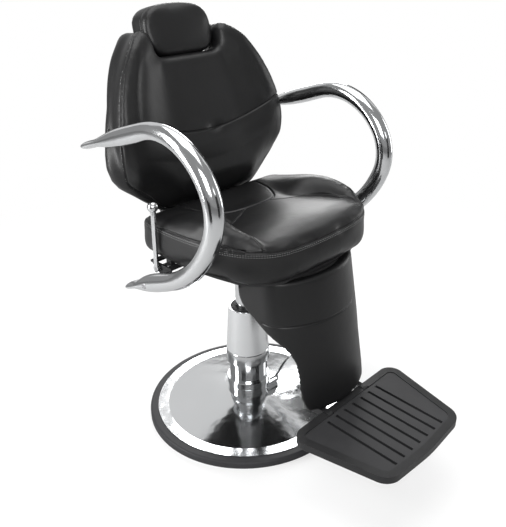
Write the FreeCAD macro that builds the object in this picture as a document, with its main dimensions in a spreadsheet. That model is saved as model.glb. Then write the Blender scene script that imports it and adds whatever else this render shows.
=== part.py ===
import FreeCAD, Part

# Threading chair on a hydraulic base, in millimetres.
# The sitter faces -Y, +Z is up, and the origin is on the floor under the swivel axis.
# Left is +X and right is -X.

import math
import os
import sys

import Sketcher
from FreeCAD import Placement, Rotation, Vector

# Driving sizes. Every length is in millimetres and every turn in degrees.
SIZES = {
    # fits between pieces
    "fit_gap": 0.3,
    "running_gap": 0.05,
    "cut_overrun": 4.0,
    # base disc
    "base_radius": 280.0,
    "ring_width": 22.0,
    "ring_height": 18.0,
    "ring_round": 6.0,
    "plate_thickness": 14.0,
    "cover_rim_height": 20.0,
    "cover_rim_width": 29.0,
    "cover_top_height": 48.0,
    "cover_sheet": 2.0,
    # pump column
    "collar_radius": 58.0,
    "collar_top": 75.0,
    "groove_width": 1.5,
    "lip_radius": 60.0,
    "lip_top": 95.0,
    "lip_step": 3.0,
    "lip_step_radius": 56.0,
    "cylinder_radius": 53.0,
    "cylinder_bore": 45.0,
    "cylinder_floor": 12.0,
    "cylinder_top": 185.0,
    "band_height": 35.0,
    "band_radius": 60.0,
    "band_chamfer": 1.5,
    "sleeve_top": 315.0,
    "sleeve_top_radius": 50.0,
    "sleeve_neck_bore": 38.0,
    "bush_length": 58.0,
    "seal_radius": 43.0,
    "seal_depth": 6.0,
    "seal_proud": 3.0,
    # piston and swivel
    "piston_radius": 30.0,
    "piston_wall": 6.0,
    "piston_bottom": 118.0,
    "hub_rise": 96.0,
    "piston_head_height": 22.0,
    "spindle_radius": 20.0,
    "spindle_length": 62.0,
    "washer_radius": 36.0,
    "washer_thickness": 4.0,
    "hub_radius": 39.0,
    "hub_flange_radius": 62.0,
    "hub_flange_thickness": 8.0,
    # foot pedal
    "pedal_plane": 48.0,
    "pedal_pivot_out": 46.0,
    "pedal_pivot_height": 63.0,
    "pedal_pin_radius": 4.0,
    "pedal_eye_radius": 7.4,
    "pedal_eye_width": 9.0,
    "cheek_thickness": 5.0,
    "cheek_inset": 20.0,
    "pin_inset": 4.0,
    "cheek_low": 52.0,
    "cheek_high": 74.0,
    "cheek_out": 57.0,
    "boss_radius": 9.0,
    "boss_bottom": 48.4,
    "boss_thickness": 4.2,
    "plunger_reach": 16.0,
    "plunger_radius": 4.0,
    "plunger_low": 49.5,
    "lever_foot_reach": 24.0,
    "lever_foot_depth": 5.0,
    "lever_rod_radius": 4.0,
    "lever_rise_run": 56.0,
    "lever_rise": 42.0,
    "lever_flat_run": 136.0,
    "lever_bend": 22.0,
    "pedal_pad_length": 44.0,
    "pedal_pad_width": 52.0,
    "pedal_pad_thickness": 13.0,
    "pedal_pad_round": 4.0,
    # seat structure
    "board_thickness": 12.0,
    "board_inset": 26.0,
    "seat_plate_size": 200.0,
    "seat_plate_thickness": 8.0,
    "seat_bolt_spacing": 150.0,
    "seat_bolt_radius": 4.0,
    "seat_bolt_head_radius": 7.5,
    "seat_bolt_head": 5.0,
    "plate_corner": 18.0,
    # seat cushion
    "cushion_front": 288.0,
    "cushion_rear": 115.0,
    "cushion_side": 248.0,
    "cushion_piping_height": 610.0,
    "cushion_band": 82.0,
    "cushion_draw": 12.0,
    "bolster_height": 48.0,
    "centre_crown": 16.0,
    "tongue_dip": 4.0,
    # arms
    "arm_plane": 293.0,
    "arm_tube_radius": 21.5,
    "arm_start_back": 225.0,
    "arm_start_rise": 173.6,
    "arm_start_slope": 18.0,
    "arm_top_run": 241.5,
    "arm_upper_bend": 172.0,
    "arm_upper_turn": 76.0,
    "arm_front_bend": 128.5,
    "arm_front_turn": 54.6,
    "arm_lower_bend": 276.0,
    "arm_lower_turn": 46.0,
    "arm_lower_run": 166.0,
    "arm_top_taper": 150.0,
    "arm_lower_taper": 92.0,
    "arm_tip_half_height": 8.0,
    "arm_tip_half_width": 22.0,
    "arm_tip_round": 5.0,
    # arm mounts
    "mount_rear": 72.0,
    "mount_front": -8.0,
    "mount_apex_back": 14.0,
    "mount_apex_half": 9.0,
    "mount_inner": 244.0,
    "mount_sheet": 5.0,
    "mount_tab_reach": 54.0,
    "mount_tab_width": 16.0,
    "mount_boss_radius": 9.0,
    "mount_rod_clearance": 2.0,
    "arm_screw_radius": 4.0,
    "arm_screw_head_radius": 7.0,
    "arm_screw_head": 3.0,
    # recline release lever
    "release_rod_back": 40.0,
    "release_rod_drop": 11.5,
    "release_rod_radius": 5.0,
    "release_rod_inner": 168.0,
    "release_bearing_outer": 219.0,
    "release_lever_plane": 253.5,
    "release_lever_width": 13.0,
    "release_lever_thickness": 5.0,
    "release_lever_eye": 9.0,
    "release_knob_back": 36.0,
    "release_lever_length": 159.5,
    "release_knob_radius": 13.0,
    "release_collar_radius": 7.0,
    "release_collar_length": 12.0,
    "release_bearing_width": 14.0,
    "release_bearing_radius": 9.0,
    # recline hinge
    "recline_back": 148.0,
    "recline_rise": 29.0,
    "recline_shaft_radius": 8.0,
    "recline_bracket_place": 120.0,
    "recline_bracket_sheet": 6.0,
    "recline_bracket_front": 40.0,
    "recline_eye_radius": 17.0,
    "recline_shelf": 36.0,
    "recline_web_drop": 26.0,
    "back_bar_top_share": 0.42,
    "back_bar_foot_share": -0.02,
    "back_bar_depth": 34.0,
    # backrest
    "back_lean": 18.0,
    "back_foot": 84.0,
    "back_foot_rise": 55.5,
    "back_half_width": 272.0,
    "back_height": 392.0,
    "back_crown": 46.0,
    "back_wing": 50.0,
    "back_foot_sink": 2.0,
    "back_seam_depth": 34.0,
    "back_rear_depth": 78.0,
    "back_rear_inset": 29.0,
    "back_board_thickness": 12.0,
    "back_board_inset": 52.0,
    "back_groove_width": 7.0,
    "back_groove_depth": 7.0,
    "notch_half_width": 107.0,
    "notch_depth": 68.0,
    "notch_corner": 26.0,
    # headrest
    "head_half_width": 102.0,
    "head_overlap": 67.0,
    "head_rise": 60.0,
    "head_corner": 38.0,
    "head_front_depth": 10.0,
    "head_rear_depth": 74.0,
    "head_board_thickness": 10.0,
    "head_round": 16.0,
    "post_spacing": 90.0,
    "post_width": 24.0,
    "post_thickness": 5.0,
    "post_length": 250.0,
    "guide_wall": 4.0,
    "guide_height": 60.0,
    # leg panel
    "panel_bottom": 185.0,
    "panel_nose_low": 348.0,
    "panel_nose_high": 294.0,
    "panel_board_inset": 4.0,
    "frame_plate_rear": 150.0,
    "panel_half_width": 150.0,
    "panel_pad": 22.0,
    "panel_board": 8.0,
    "frame_plate_thickness": 6.0,
    "strut_spacing": 140.0,
    "strut_width": 16.0,
    "strut_depth": 10.0,
    # footrest
    "foot_axis_front": 352.0,
    "foot_axis_height": 174.0,
    "foot_bar_radius": 5.0,
    "foot_bar_cover": 2.0,
    "foot_bar_length": 226.0,
    "foot_lug_radius": 8.5,
    "tray_rear": 340.0,
    "tray_front": 597.0,
    "tray_front_bow": 10.0,
    "tray_rear_half": 202.0,
    "tray_front_half": 147.0,
    "tray_rear_corner": 34.0,
    "tray_front_corner": 44.0,
    "tray_slope": 2.5,
    "tray_thickness": 20.0,
    "tray_floor": 7.0,
    "tray_rim": 20.0,
    "tray_notch_clearance": 1.0,
    "tread_groove": 8.0,
    "tread_groove_depth": 7.0,
    "tread_drop": 1.5,
}
RIB_COUNT = 8

# Heights that follow from the driving sizes, as formulas of the sheet.
FOLLOWING = {
    "board_bottom": "=cushion_piping_height - cushion_band - board_thickness",
    "piston_top": "=board_bottom - hub_rise",
    "release_rod_height": "=board_bottom - release_rod_drop",
    "release_knob_height": "=release_rod_height + release_lever_length",
    "panel_top": "=board_bottom - fit_gap",
    "arm_start_height": "=cushion_piping_height + arm_start_rise",
    "back_foot_height": "=cushion_piping_height + back_foot_rise",
    "recline_height": "=board_bottom + recline_rise",
    "head_bottom": "=back_height - head_overlap",
    "head_top": "=back_height + head_rise",
}

doc = FreeCAD.newDocument("ThreadingChair")
sheet = doc.addObject("Spreadsheet::Sheet", "Sizes")
ALIASES = {**SIZES, **FOLLOWING}
for row, (alias, value) in enumerate(ALIASES.items(), start=1):
    sheet.set(f"A{row}", alias)
    sheet.set(f"B{row}", str(value))
    sheet.setAlias(f"B{row}", alias)
doc.recompute()


class SheetSizes:
    """Reads a size from the sheet by its alias."""

    def __getattr__(self, alias):
        return float(sheet.get(alias))


at = SheetSizes()
PARTS = []


def expression(text):
    """Turns bare aliases of a formula into references to the sheet."""
    words = []
    word = ""
    for letter in text + " ":
        if letter.isalnum() or letter == "_":
            word += letter
            continue
        words.append(f"Sizes.{word}" if word in ALIASES else word)
        words.append(letter)
        word = ""
    return "".join(words).strip()


def value_of(text):
    """Number that a formula of sheet sizes gives."""
    return float(sheet.evalExpression(expression(text)))


def new_body(node):
    """Empty body whose label is the sub-part's name."""
    body = doc.addObject("PartDesign::Body", node)
    body.Label = node
    PARTS.append(body)
    return body


def origin_plane(body, role):
    """Origin plane of the body with the given role."""
    return next(f for f in body.Origin.OriginFeatures if f.Role == role)


def circle(u, v, radius):
    """Outline that is one circle."""
    return ("circle", u, v, radius)


def rectangle(u_low, u_high, v_low, v_high):
    """Outline with four corners."""
    return [(u_low, v_low), (u_high, v_low), (u_high, v_high), (u_low, v_high)]


def pin_point(sketch, geometry, position, u, v):
    """Ties one point of a sketch to two formulas."""
    for kind, text in (("DistanceX", u), ("DistanceY", v)):
        amount = value_of(text)
        index = sketch.addConstraint(Sketcher.Constraint(kind, -1, 1, geometry, position, amount))
        sketch.setExpression(f"Constraints[{index}]", expression(text))


def draw(sketch, outline):
    """Draws a closed outline of formulas. A third item marks a point that an arc passes through."""
    if outline[0] == "circle":
        _, u, v, radius = outline
        centre = Vector(value_of(u), value_of(v), 0)
        ring = sketch.addGeometry(Part.Circle(centre, Vector(0, 0, 1), value_of(radius)), False)
        pin_point(sketch, ring, 3, u, v)
        index = sketch.addConstraint(Sketcher.Constraint("Radius", ring, value_of(radius)))
        sketch.setExpression(f"Constraints[{index}]", expression(radius))
        return
    corners = [item for item in outline if len(item) == 2]
    middles = {}
    corner = -1
    for item in outline:
        if len(item) == 2:
            corner += 1
        else:
            middles[corner] = item
    points = [Vector(value_of(u), value_of(v), 0) for u, v in corners]
    starts = []
    ends = []
    for index, start in enumerate(points):
        end = points[(index + 1) % len(points)]
        if index in middles:
            u, v, _ = middles[index]
            through = Vector(value_of(u), value_of(v), 0)
            edge = sketch.addGeometry(Part.Arc(start, through, end), False)
            forward = sketch.getPoint(edge, 1).distanceToPoint(start) < 1e-6
            starts.append((edge, 1 if forward else 2))
            ends.append((edge, 2 if forward else 1))
            helper = sketch.addGeometry(Part.Point(through), True)
            pin_point(sketch, helper, 1, u, v)
            sketch.addConstraint(Sketcher.Constraint("PointOnObject", helper, 1, edge))
        else:
            edge = sketch.addGeometry(Part.LineSegment(start, end), False)
            starts.append((edge, 1))
            ends.append((edge, 2))
    for index, (u, v) in enumerate(corners):
        edge, position = starts[index]
        before, before_position = ends[index - 1]
        sketch.addConstraint(Sketcher.Constraint("Coincident", before, before_position, edge, position))
        pin_point(sketch, edge, position, u, v)


def add_sketch(body, plane, outline, offset="0"):
    """Sketch on an origin plane of the body, shifted along the plane's normal."""
    sketch = body.newObject("Sketcher::SketchObject", body.Name + "_outline")
    sketch.AttachmentSupport = [(origin_plane(body, plane), "")]
    sketch.MapMode = "FlatFace"
    sketch.setExpression("AttachmentOffset.Base.z", expression(offset))
    draw(sketch, outline)
    return sketch


def pad(body, plane, outline, start, length):
    """Adds a prism that begins at start along the plane's normal."""
    feature = body.newObject("PartDesign::Pad", body.Name + "_pad")
    feature.Profile = add_sketch(body, plane, outline, start)
    feature.setExpression("Length", expression(length))
    return feature


def pocket(body, plane, outline, start, length):
    """Cuts a prism that begins at start and runs along the plane's normal."""
    feature = body.newObject("PartDesign::Pocket", body.Name + "_cut")
    feature.Profile = add_sketch(body, plane, outline, start)
    feature.Reversed = True
    feature.setExpression("Length", expression(length))
    return feature


def turned(node, outline):
    """Body turned about the vertical axis from a closed outline of (radius, height)."""
    body = new_body(node)
    turn = body.newObject("PartDesign::Revolution", node + "_turn")
    sketch = add_sketch(body, "XZ_Plane", outline)
    turn.Profile = sketch
    turn.ReferenceAxis = (sketch, ["V_Axis"])
    turn.Angle = 360
    return body


def soften(body, kind, size_name, chosen):
    """Fillet or chamfer on the edges of the body that the test picks."""
    doc.recompute()
    base = body.Tip
    names = [f"Edge{i + 1}" for i, edge in enumerate(base.Shape.Edges) if chosen(edge)]
    feature = body.newObject(f"PartDesign::{kind}", body.Name + "_" + kind.lower())
    feature.Base = (base, names)
    feature.setExpression("Radius" if kind == "Fillet" else "Size", expression(size_name))
    return feature


def ring_edge(radius, height):
    """Test for a horizontal circle of the given radius and height about the axis."""
    def test(edge):
        box = edge.BoundBox
        flat = abs(box.ZMin - height) < 1e-3 and abs(box.ZMax - height) < 1e-3
        return flat and abs(box.XMax - radius) < 1e-3
    return test


def along(axis, low=-math.inf, high=math.inf):
    """Test for straight edges that run along one axis and lie between two heights."""
    def test(edge):
        if edge.Curve.TypeId != "Part::GeomLine":
            return False
        direction = edge.tangentAt(edge.FirstParameter)
        return abs(abs(direction.dot(axis)) - 1) < 1e-6 and low < edge.CenterOfMass.z < high
    return test


X_AXIS = Vector(1, 0, 0)
Y_AXIS = Vector(0, 1, 0)
Z_AXIS = Vector(0, 0, 1)


def free_shape(node, shape, placement=None):
    """Sub-part whose shape is made with Part's own functions from the sheet's sizes."""
    feature = doc.addObject("Part::Feature", node)
    feature.Label = node
    feature.Shape = shape
    if placement is not None:
        feature.Placement = placement
    PARTS.append(feature)
    return feature


def wire_through(points, arcs):
    """Closed wire. arcs maps the index of a side to the point that its arc passes through."""
    edges = []
    for index, start in enumerate(points):
        end = points[(index + 1) % len(points)]
        if index in arcs:
            edges.append(Part.Arc(start, arcs[index], end).toShape())
        else:
            edges.append(Part.LineSegment(start, end).toShape())
    return Part.Wire(edges)


# Base disc


def build_base():
    ring_inner = "base_radius - ring_width"
    ring = turned("rubber_ring", rectangle(ring_inner, "base_radius", "0", "ring_height"))
    soften(ring, "Fillet", "ring_round", ring_edge(at.base_radius, at.ring_height))
    plate_edge = ring_inner + " - fit_gap"
    turned("base_plate", rectangle("0", plate_edge, "0", "plate_thickness"))
    cone_start = plate_edge + " - cover_rim_width"
    hole = "collar_radius + fit_gap"
    turned("base_cover", [
        (plate_edge, "plate_thickness"),
        (plate_edge, "cover_rim_height"),
        (cone_start, "cover_rim_height"),
        (hole, "cover_top_height"),
        (hole, "cover_top_height - cover_sheet"),
        (cone_start, "cover_rim_height - cover_sheet"),
        (plate_edge + " - cover_sheet", "cover_rim_height - cover_sheet"),
        (plate_edge + " - cover_sheet", "plate_thickness"),
    ])


# Pump column


def build_pump():
    bore = "cylinder_radius + running_gap"
    collar = turned("pump_collar", rectangle(bore, "collar_radius", "plate_thickness", "collar_top"))
    soften(collar, "Chamfer", "band_chamfer", ring_edge(at.collar_radius, at.collar_top))
    lip_bottom = "collar_top + groove_width"
    turned("collar_lip", [
        (bore, "collar_top"),
        ("collar_radius - groove_width", "collar_top"),
        ("collar_radius - groove_width", lip_bottom),
        ("lip_radius", lip_bottom),
        ("lip_radius", "lip_top - groove_width"),
        ("lip_radius - groove_width", "lip_top"),
        ("lip_step_radius", "lip_top"),
        ("lip_step_radius", "lip_top + lip_step"),
        (bore, "lip_top + lip_step"),
    ])
    floor = "plate_thickness + cylinder_floor"
    turned("pump_cylinder", [
        ("0", "plate_thickness"),
        ("cylinder_radius", "plate_thickness"),
        ("cylinder_radius", "cylinder_top"),
        ("cylinder_bore", "cylinder_top"),
        ("cylinder_bore", floor),
        ("0", floor),
    ])
    band_low = "cylinder_top - band_height"
    band = turned("pump_band", rectangle(bore, "band_radius", band_low, "cylinder_top"))
    for height in (at.cylinder_top - at.band_height, at.cylinder_top):
        soften(band, "Chamfer", "band_chamfer", ring_edge(at.band_radius, height))
    seat = "sleeve_top - seal_depth"
    neck = "sleeve_top - seal_depth - bush_length"
    turned("pump_sleeve", [
        ("cylinder_bore", "cylinder_top"),
        ("band_radius - band_chamfer", "cylinder_top"),
        ("sleeve_top_radius", "sleeve_top"),
        ("seal_radius", "sleeve_top"),
        ("seal_radius", seat),
        ("sleeve_neck_bore", seat),
        ("sleeve_neck_bore", neck),
        ("cylinder_bore", neck),
    ])
    bush_outer = "sleeve_neck_bore - running_gap"
    turned("guide_bush", rectangle("piston_radius + running_gap", bush_outer, neck, seat))
    seal_outer = "seal_radius - running_gap"
    seal_top = "sleeve_top + seal_proud"
    seal = turned("wiper_seal", rectangle("piston_radius + fit_gap", seal_outer, seat, seal_top))
    rim = ring_edge(at.seal_radius - at.running_gap, at.sleeve_top + at.seal_proud)
    soften(seal, "Chamfer", "band_chamfer", rim)


# Piston and swivel


def build_piston():
    inner = "piston_radius - piston_wall"
    shoulder = "piston_top - piston_wall"
    turned("piston_rod", [
        (inner, "piston_bottom + piston_head_height"),
        ("piston_radius", "piston_bottom + piston_head_height"),
        ("piston_radius", "piston_top"),
        ("spindle_radius", "piston_top"),
        ("spindle_radius", "piston_top + spindle_length"),
        ("0", "piston_top + spindle_length"),
        ("0", shoulder),
        (inner, shoulder),
    ])
    head_top = "piston_bottom + piston_head_height"
    head_edge = "cylinder_bore - running_gap"
    turned("piston_head", rectangle("0", head_edge, "piston_bottom", head_top))
    washer_top = "piston_top + washer_thickness"
    washer_bore = "spindle_radius + running_gap"
    turned("swivel_washer", rectangle(washer_bore, "washer_radius", "piston_top", washer_top))
    hub_low = washer_top + " + fit_gap"
    hub_top = "board_bottom - seat_plate_thickness"
    cavity = "piston_top + spindle_length + cut_overrun"
    turned("swivel_hub", [
        ("spindle_radius + running_gap", hub_low),
        ("hub_radius", hub_low),
        ("hub_radius", hub_top + " - hub_flange_thickness"),
        ("hub_flange_radius", hub_top + " - hub_flange_thickness"),
        ("hub_flange_radius", hub_top),
        ("0", hub_top),
        ("0", cavity),
        ("spindle_radius + running_gap", cavity),
    ])


# Foot pedal


def build_pedal():
    middle = "pedal_plane"
    half_eye = "pedal_eye_width / 2"
    pin_bore = "pedal_pin_radius + running_gap"
    clear = "running_gap"
    # The normal of the XZ plane points to -Y, so a start is a distance forward of the axis.
    bracket = new_body("pedal_bracket")
    cheek = rectangle("cheek_inset", "cheek_out", "cheek_low", "cheek_high")
    near = f"{middle} - {half_eye} - {clear} - cheek_thickness"
    far = f"{middle} + {half_eye} + {clear}"
    pad(bracket, "XZ_Plane", cheek, near, "cheek_thickness")
    pad(bracket, "XZ_Plane", cheek, far, "cheek_thickness")
    boss_out = "pedal_pivot_out + plunger_reach"
    web = rectangle("cheek_inset", boss_out, "boss_bottom", "cheek_low")
    pad(bracket, "XZ_Plane", web, near, f"pedal_eye_width + 2 * {clear} + 2 * cheek_thickness")
    boss_top = "boss_bottom + boss_thickness"
    boss = circle(boss_out, f"-({middle})", "boss_radius")
    pad(bracket, "XY_Plane", boss, "boss_bottom", "boss_thickness")
    pocket(bracket, "XY_Plane", circle(boss_out, f"-({middle})", "plunger_radius + running_gap"),
           "boss_bottom - cut_overrun", "boss_thickness + 2 * cut_overrun")
    pocket(bracket, "XZ_Plane", circle("pedal_pivot_out", "pedal_pivot_height", pin_bore),
           f"{near} - cut_overrun", "pedal_eye_width + 2 * cheek_thickness + 3 * cut_overrun")
    pocket(bracket, "XY_Plane", circle("0", "0", "lip_radius + fit_gap"),
           "boss_bottom - cut_overrun", "cheek_high - boss_bottom + 2 * cut_overrun")
    pin = new_body("pedal_pin")
    pad(pin, "XZ_Plane", circle("pedal_pivot_out", "pedal_pivot_height", "pedal_pin_radius"),
        f"{near} + pin_inset", "pedal_eye_width + 2 * cheek_thickness + 3 * running_gap - pin_inset")
    lever_low = "pedal_pivot_height - lever_foot_depth"
    foot_end = "pedal_pivot_out + lever_foot_reach"
    lever = new_body("pedal_lever_foot")
    PARTS.remove(lever)
    pad(lever, "XZ_Plane", circle("pedal_pivot_out", "pedal_pivot_height", "pedal_eye_radius"),
        f"{middle} - {half_eye}", "pedal_eye_width")
    pad(lever, "XZ_Plane", [
        ("pedal_pivot_out", lever_low),
        (foot_end, lever_low),
        (foot_end, "pedal_pivot_height + lever_foot_depth + lever_foot_reach / 4"),
        ("pedal_pivot_out", "pedal_pivot_height + pedal_eye_radius"),
    ], f"{middle} - {half_eye}", "pedal_eye_width")
    pocket(lever, "XZ_Plane", circle("pedal_pivot_out", "pedal_pivot_height", pin_bore),
           f"{middle} - {half_eye} - cut_overrun", "pedal_eye_width + 2 * cut_overrun")
    doc.recompute()
    rod_start = Vector(at.pedal_pivot_out + at.pedal_eye_radius, -at.pedal_plane, at.pedal_pivot_height
                       + at.lever_foot_depth)
    corner = rod_start + Vector(at.lever_rise_run, 0, at.lever_rise)
    rod_end = corner + Vector(at.lever_flat_run, 0, 0)
    rising = (corner - rod_start).normalize()
    before = corner - rising * at.lever_bend
    after = corner + X_AXIS * at.lever_bend
    bisector = ((before + after) / 2 - corner).normalize()
    half_turn = rising.getAngle(X_AXIS) / 2
    bend_radius = at.lever_bend / math.tan(half_turn)
    mid_bend = corner + bisector * (bend_radius / math.cos(half_turn) - bend_radius)
    path = Part.Wire([
        Part.LineSegment(rod_start, before).toShape(),
        Part.Arc(before, mid_bend, after).toShape(),
        Part.LineSegment(after, rod_end).toShape(),
    ])
    section = Part.Wire([Part.Circle(rod_start, rising, at.lever_rod_radius).toShape()])
    rod = path.makePipeShell([section], True, True)
    free_shape("pedal_lever", lever.Shape.fuse(rod).removeSplitter())
    half_pad = at.pedal_pad_width / 2
    block = Part.makeBox(at.pedal_pad_length, at.pedal_pad_width, at.pedal_pad_thickness,
                         Vector(rod_end.x - at.pedal_pad_length + at.cut_overrun, -at.pedal_plane - half_pad,
                                rod_end.z - at.pedal_pad_thickness / 2))
    block = block.makeFillet(at.pedal_pad_round, block.Edges)
    bore = Part.makeCylinder(at.lever_rod_radius + at.running_gap, at.pedal_pad_length,
                             rod_end - X_AXIS * (at.pedal_pad_length - at.running_gap), X_AXIS)
    free_shape("pedal_pad", block.cut(bore))
    plunger = new_body("pump_plunger")
    plunger_top = f"{lever_low} - fit_gap"
    pad(plunger, "XY_Plane", circle(boss_out, f"-({middle})", "plunger_radius"),
        "plunger_low", f"{plunger_top} - plunger_low")
    soften(plunger, "Fillet", "plunger_radius - running_gap",
           lambda edge: edge.BoundBox.ZMin > value_of(plunger_top) - 1e-3)


# Seat frame


def build_seat_frame():
    half = "seat_plate_size / 2"
    plate_low = "board_bottom - seat_plate_thickness"
    plate = new_body("seat_plate")
    pad(plate, "XY_Plane", rectangle(f"-{half}", half, f"-{half}", half), plate_low, "seat_plate_thickness")
    soften(plate, "Fillet", "plate_corner", along(Z_AXIS))
    hole = "seat_bolt_radius + running_gap"
    offset = "seat_bolt_spacing / 2"
    places = [(side, depth) for side in ("-", "") for depth in ("-", "")]
    for side, depth in places:
        pocket(plate, "XY_Plane", circle(f"{side}{offset}", f"{depth}{offset}", hole),
               f"{plate_low} - cut_overrun", "seat_plate_thickness + 2 * cut_overrun")
    for number, (side, depth) in enumerate(places, start=1):
        bolt = new_body(f"seat_bolt_{number}")
        place = (f"{side}{offset}", f"{depth}{offset}")
        pad(bolt, "XY_Plane", circle(*place, "seat_bolt_head_radius"), f"{plate_low} - seat_bolt_head",
            "seat_bolt_head")
        pad(bolt, "XY_Plane", circle(*place, "seat_bolt_radius"), f"{plate_low} - seat_bolt_head",
            "seat_bolt_head + seat_plate_thickness")


# The cushion's outline, as shares of its half width, its front and its rear reach.
CUSHION_SHARES = {
    "rear_corner": (0.87, 1.0),
    "rear_bend": (0.948, 0.93),
    "side_rear": (0.978, 0.72),
    "side_middle": (0.996, 0.05),
    "side_front": (0.893, -0.62),
    "front_bend": (0.742, -0.862),
    "front_corner": (0.528, -0.966),
    "front_middle": (0.0, -1.0),
}


def cushion_point(name, inset, height, side=1):
    """Point of the seat outline, drawn in towards the middle by the inset."""
    share_x, share_y = CUSHION_SHARES[name]
    reach = at.cushion_rear if share_y > 0 else at.cushion_front
    x = share_x * at.cushion_side
    y = share_y * reach
    length = math.hypot(x, y)
    pull = 1 - inset / length
    return Vector(side * x * pull, y * pull, height)


def cushion_wire(inset, height):
    """Seat outline at one height."""
    def p(name, side=1):
        return cushion_point(name, inset, height, side)

    points = [p("rear_corner"), p("side_rear"), p("side_front"), p("front_corner"),
              p("front_corner", -1), p("side_front", -1), p("side_rear", -1), p("rear_corner", -1)]
    arcs = {0: p("rear_bend"), 1: p("side_middle"), 2: p("front_bend"), 3: p("front_middle"),
            4: p("front_bend", -1), 5: p("side_middle", -1), 6: p("rear_bend", -1)}
    return wire_through(points, arcs)


# Cross sections of the seat top: place along the depth, half width, seam and crest, as shares.
# Depth shares run from the rear edge (1) over the axis (0) to the front edge (-1).
SEAT_TOP_SHARES = [
    # depth, half width, seam, bolster height, crown of the middle
    (0.97, 0.89, 0.50, 0.10, 0.1),
    (0.56, 0.97, 0.50, 0.30, -0.4),
    (0.08, 0.985, 0.43, 0.65, -0.4),
    (-0.17, 0.968, 0.36, 0.92, 0.1),
    (-0.36, 0.935, 0.56, 1.0, 0.6),
    (-0.52, 0.905, 0.64, 1.0, 1.0),
    (-0.68, 0.862, 0.66, 0.80, 1.0),
    (-0.82, 0.765, 0.62, 0.42, 0.85),
    (-0.92, 0.60, 0.46, 0.16, 0.5),
    (-0.975, 0.36, 0.25, 0.04, 0.1),
]


# Rise of the seam with its bolster, and of the crest above it, as shares of the bolster's height.
SEAM_LIFT_SHARE = 0.12
CREST_SHARE = 0.04


def seat_top_section(share_y, half_share, seam_share, bolster, crown):
    """Closed section of the seat's top at one depth."""
    y = share_y * (at.cushion_rear if share_y > 0 else at.cushion_front)
    half = half_share * at.cushion_side
    seam = seam_share * at.cushion_side
    low = at.cushion_piping_height - at.cushion_draw
    edge = at.cushion_piping_height + at.fit_gap
    lift = max(bolster, 0) * at.bolster_height
    seam_height = edge + max(crown, 0) * at.centre_crown / 2 + SEAM_LIFT_SHARE * lift
    middle = seam_height + crown * (at.centre_crown / 2 if crown > 0 else at.tongue_dip)
    crest_x = (half + seam) / 2
    crest = max(edge, seam_height) + CREST_SHARE * at.bolster_height + lift

    def p(x, z):
        return Vector(x, y, z)

    points = [p(-half, low), p(-half, edge), p(-seam, seam_height), p(seam, seam_height), p(half, edge),
              p(half, low)]
    arcs = {1: p(-crest_x, crest), 2: p(0, middle), 3: p(crest_x, crest)}
    return wire_through(points, arcs)


# Sections of the seat's side band: inset as a share of the draw, height as a share of the band.
CUSHION_BAND_SHARES = [(1, 0), (0.333, 0.12), (0.167, 0.45), (0.25, 0.85), (0, 1)]


def build_seat_cushion():
    low = at.board_bottom + at.board_thickness
    board_shape = Part.Face(cushion_wire(at.board_inset, at.board_bottom)).extrude(
        Z_AXIS * at.board_thickness)
    free_shape("seat_board", board_shape)
    band = Part.makeLoft([cushion_wire(at.cushion_draw * inset_share, low + at.cushion_band * height_share)
                          for inset_share, height_share in CUSHION_BAND_SHARES], True, False)
    top = Part.makeLoft([seat_top_section(*row) for row in SEAT_TOP_SHARES], True, False)
    free_shape("seat_cushion", band.fuse(top).removeSplitter())


# Arms


# How far along a tip's taper a section stands, and how flat it is, both as shares.
ARM_TIP_SHARES = [(0, 1), (0.25, 0.9), (0.5, 0.6), (0.75, 0.2), (1, 0)]
ARM_BEND_STEP = 14


def arm_heading(turn):
    """Direction along an arm that rises by a turn while it runs forward."""
    return Vector(0, -math.cos(turn), math.sin(turn))


def arm_section(centre, turn, flat_share, blunt=0):
    """Oval section square to the arm, wide along X and low by its flat share."""
    tube = at.arm_tube_radius
    height = tube + (at.arm_tip_half_height - tube) * flat_share - blunt / 2
    width = tube + (at.arm_tip_half_width - tube) * flat_share + at.running_gap - blunt
    edge = Part.Ellipse(Vector(0, 0, 0), width, height).toShape()
    direction = arm_heading(turn)
    upright = direction.cross(X_AXIS).normalize()
    edge.Placement = Placement(centre, Rotation(X_AXIS, upright, direction, "ZXY"))
    return Part.Wire([edge])


def arm_tip(tip, turn, inward, length):
    """Sections of a flattened tip, listed from its blunt end inward."""
    sections = [arm_section(tip, turn, 1, at.arm_tip_round)]
    for place_share, flat_share in ARM_TIP_SHARES:
        reach = at.arm_tip_round + (length - at.arm_tip_round) * place_share
        sections.append(arm_section(tip + inward * reach, turn, flat_share))
    return sections


def arm_sections():
    """Sections from the upper tip to the lower one, and the start and the heading of the lower leg."""
    turn = math.radians(at.arm_start_slope)
    tip = Vector(0, at.arm_start_back, at.arm_start_height)
    sections = arm_tip(tip, turn, arm_heading(turn), at.arm_top_taper)
    place = tip + arm_heading(turn) * at.arm_top_run
    sections.append(arm_section(place, turn, 0))
    for radius, degrees in ((at.arm_upper_bend, at.arm_upper_turn), (at.arm_front_bend, at.arm_front_turn),
                            (at.arm_lower_bend, at.arm_lower_turn)):
        centre = place + Vector(0, -math.sin(turn), -math.cos(turn)) * radius
        steps = math.ceil(degrees / ARM_BEND_STEP)
        for _ in range(steps):
            turn -= math.radians(degrees) / steps
            place = centre + Vector(0, math.sin(turn), math.cos(turn)) * radius
            sections.append(arm_section(place, turn, 0))
    heading = arm_heading(turn)
    tip = place + heading * at.arm_lower_run
    sections += reversed(arm_tip(tip, turn, -heading, at.arm_lower_taper))
    return sections, place, heading


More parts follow.
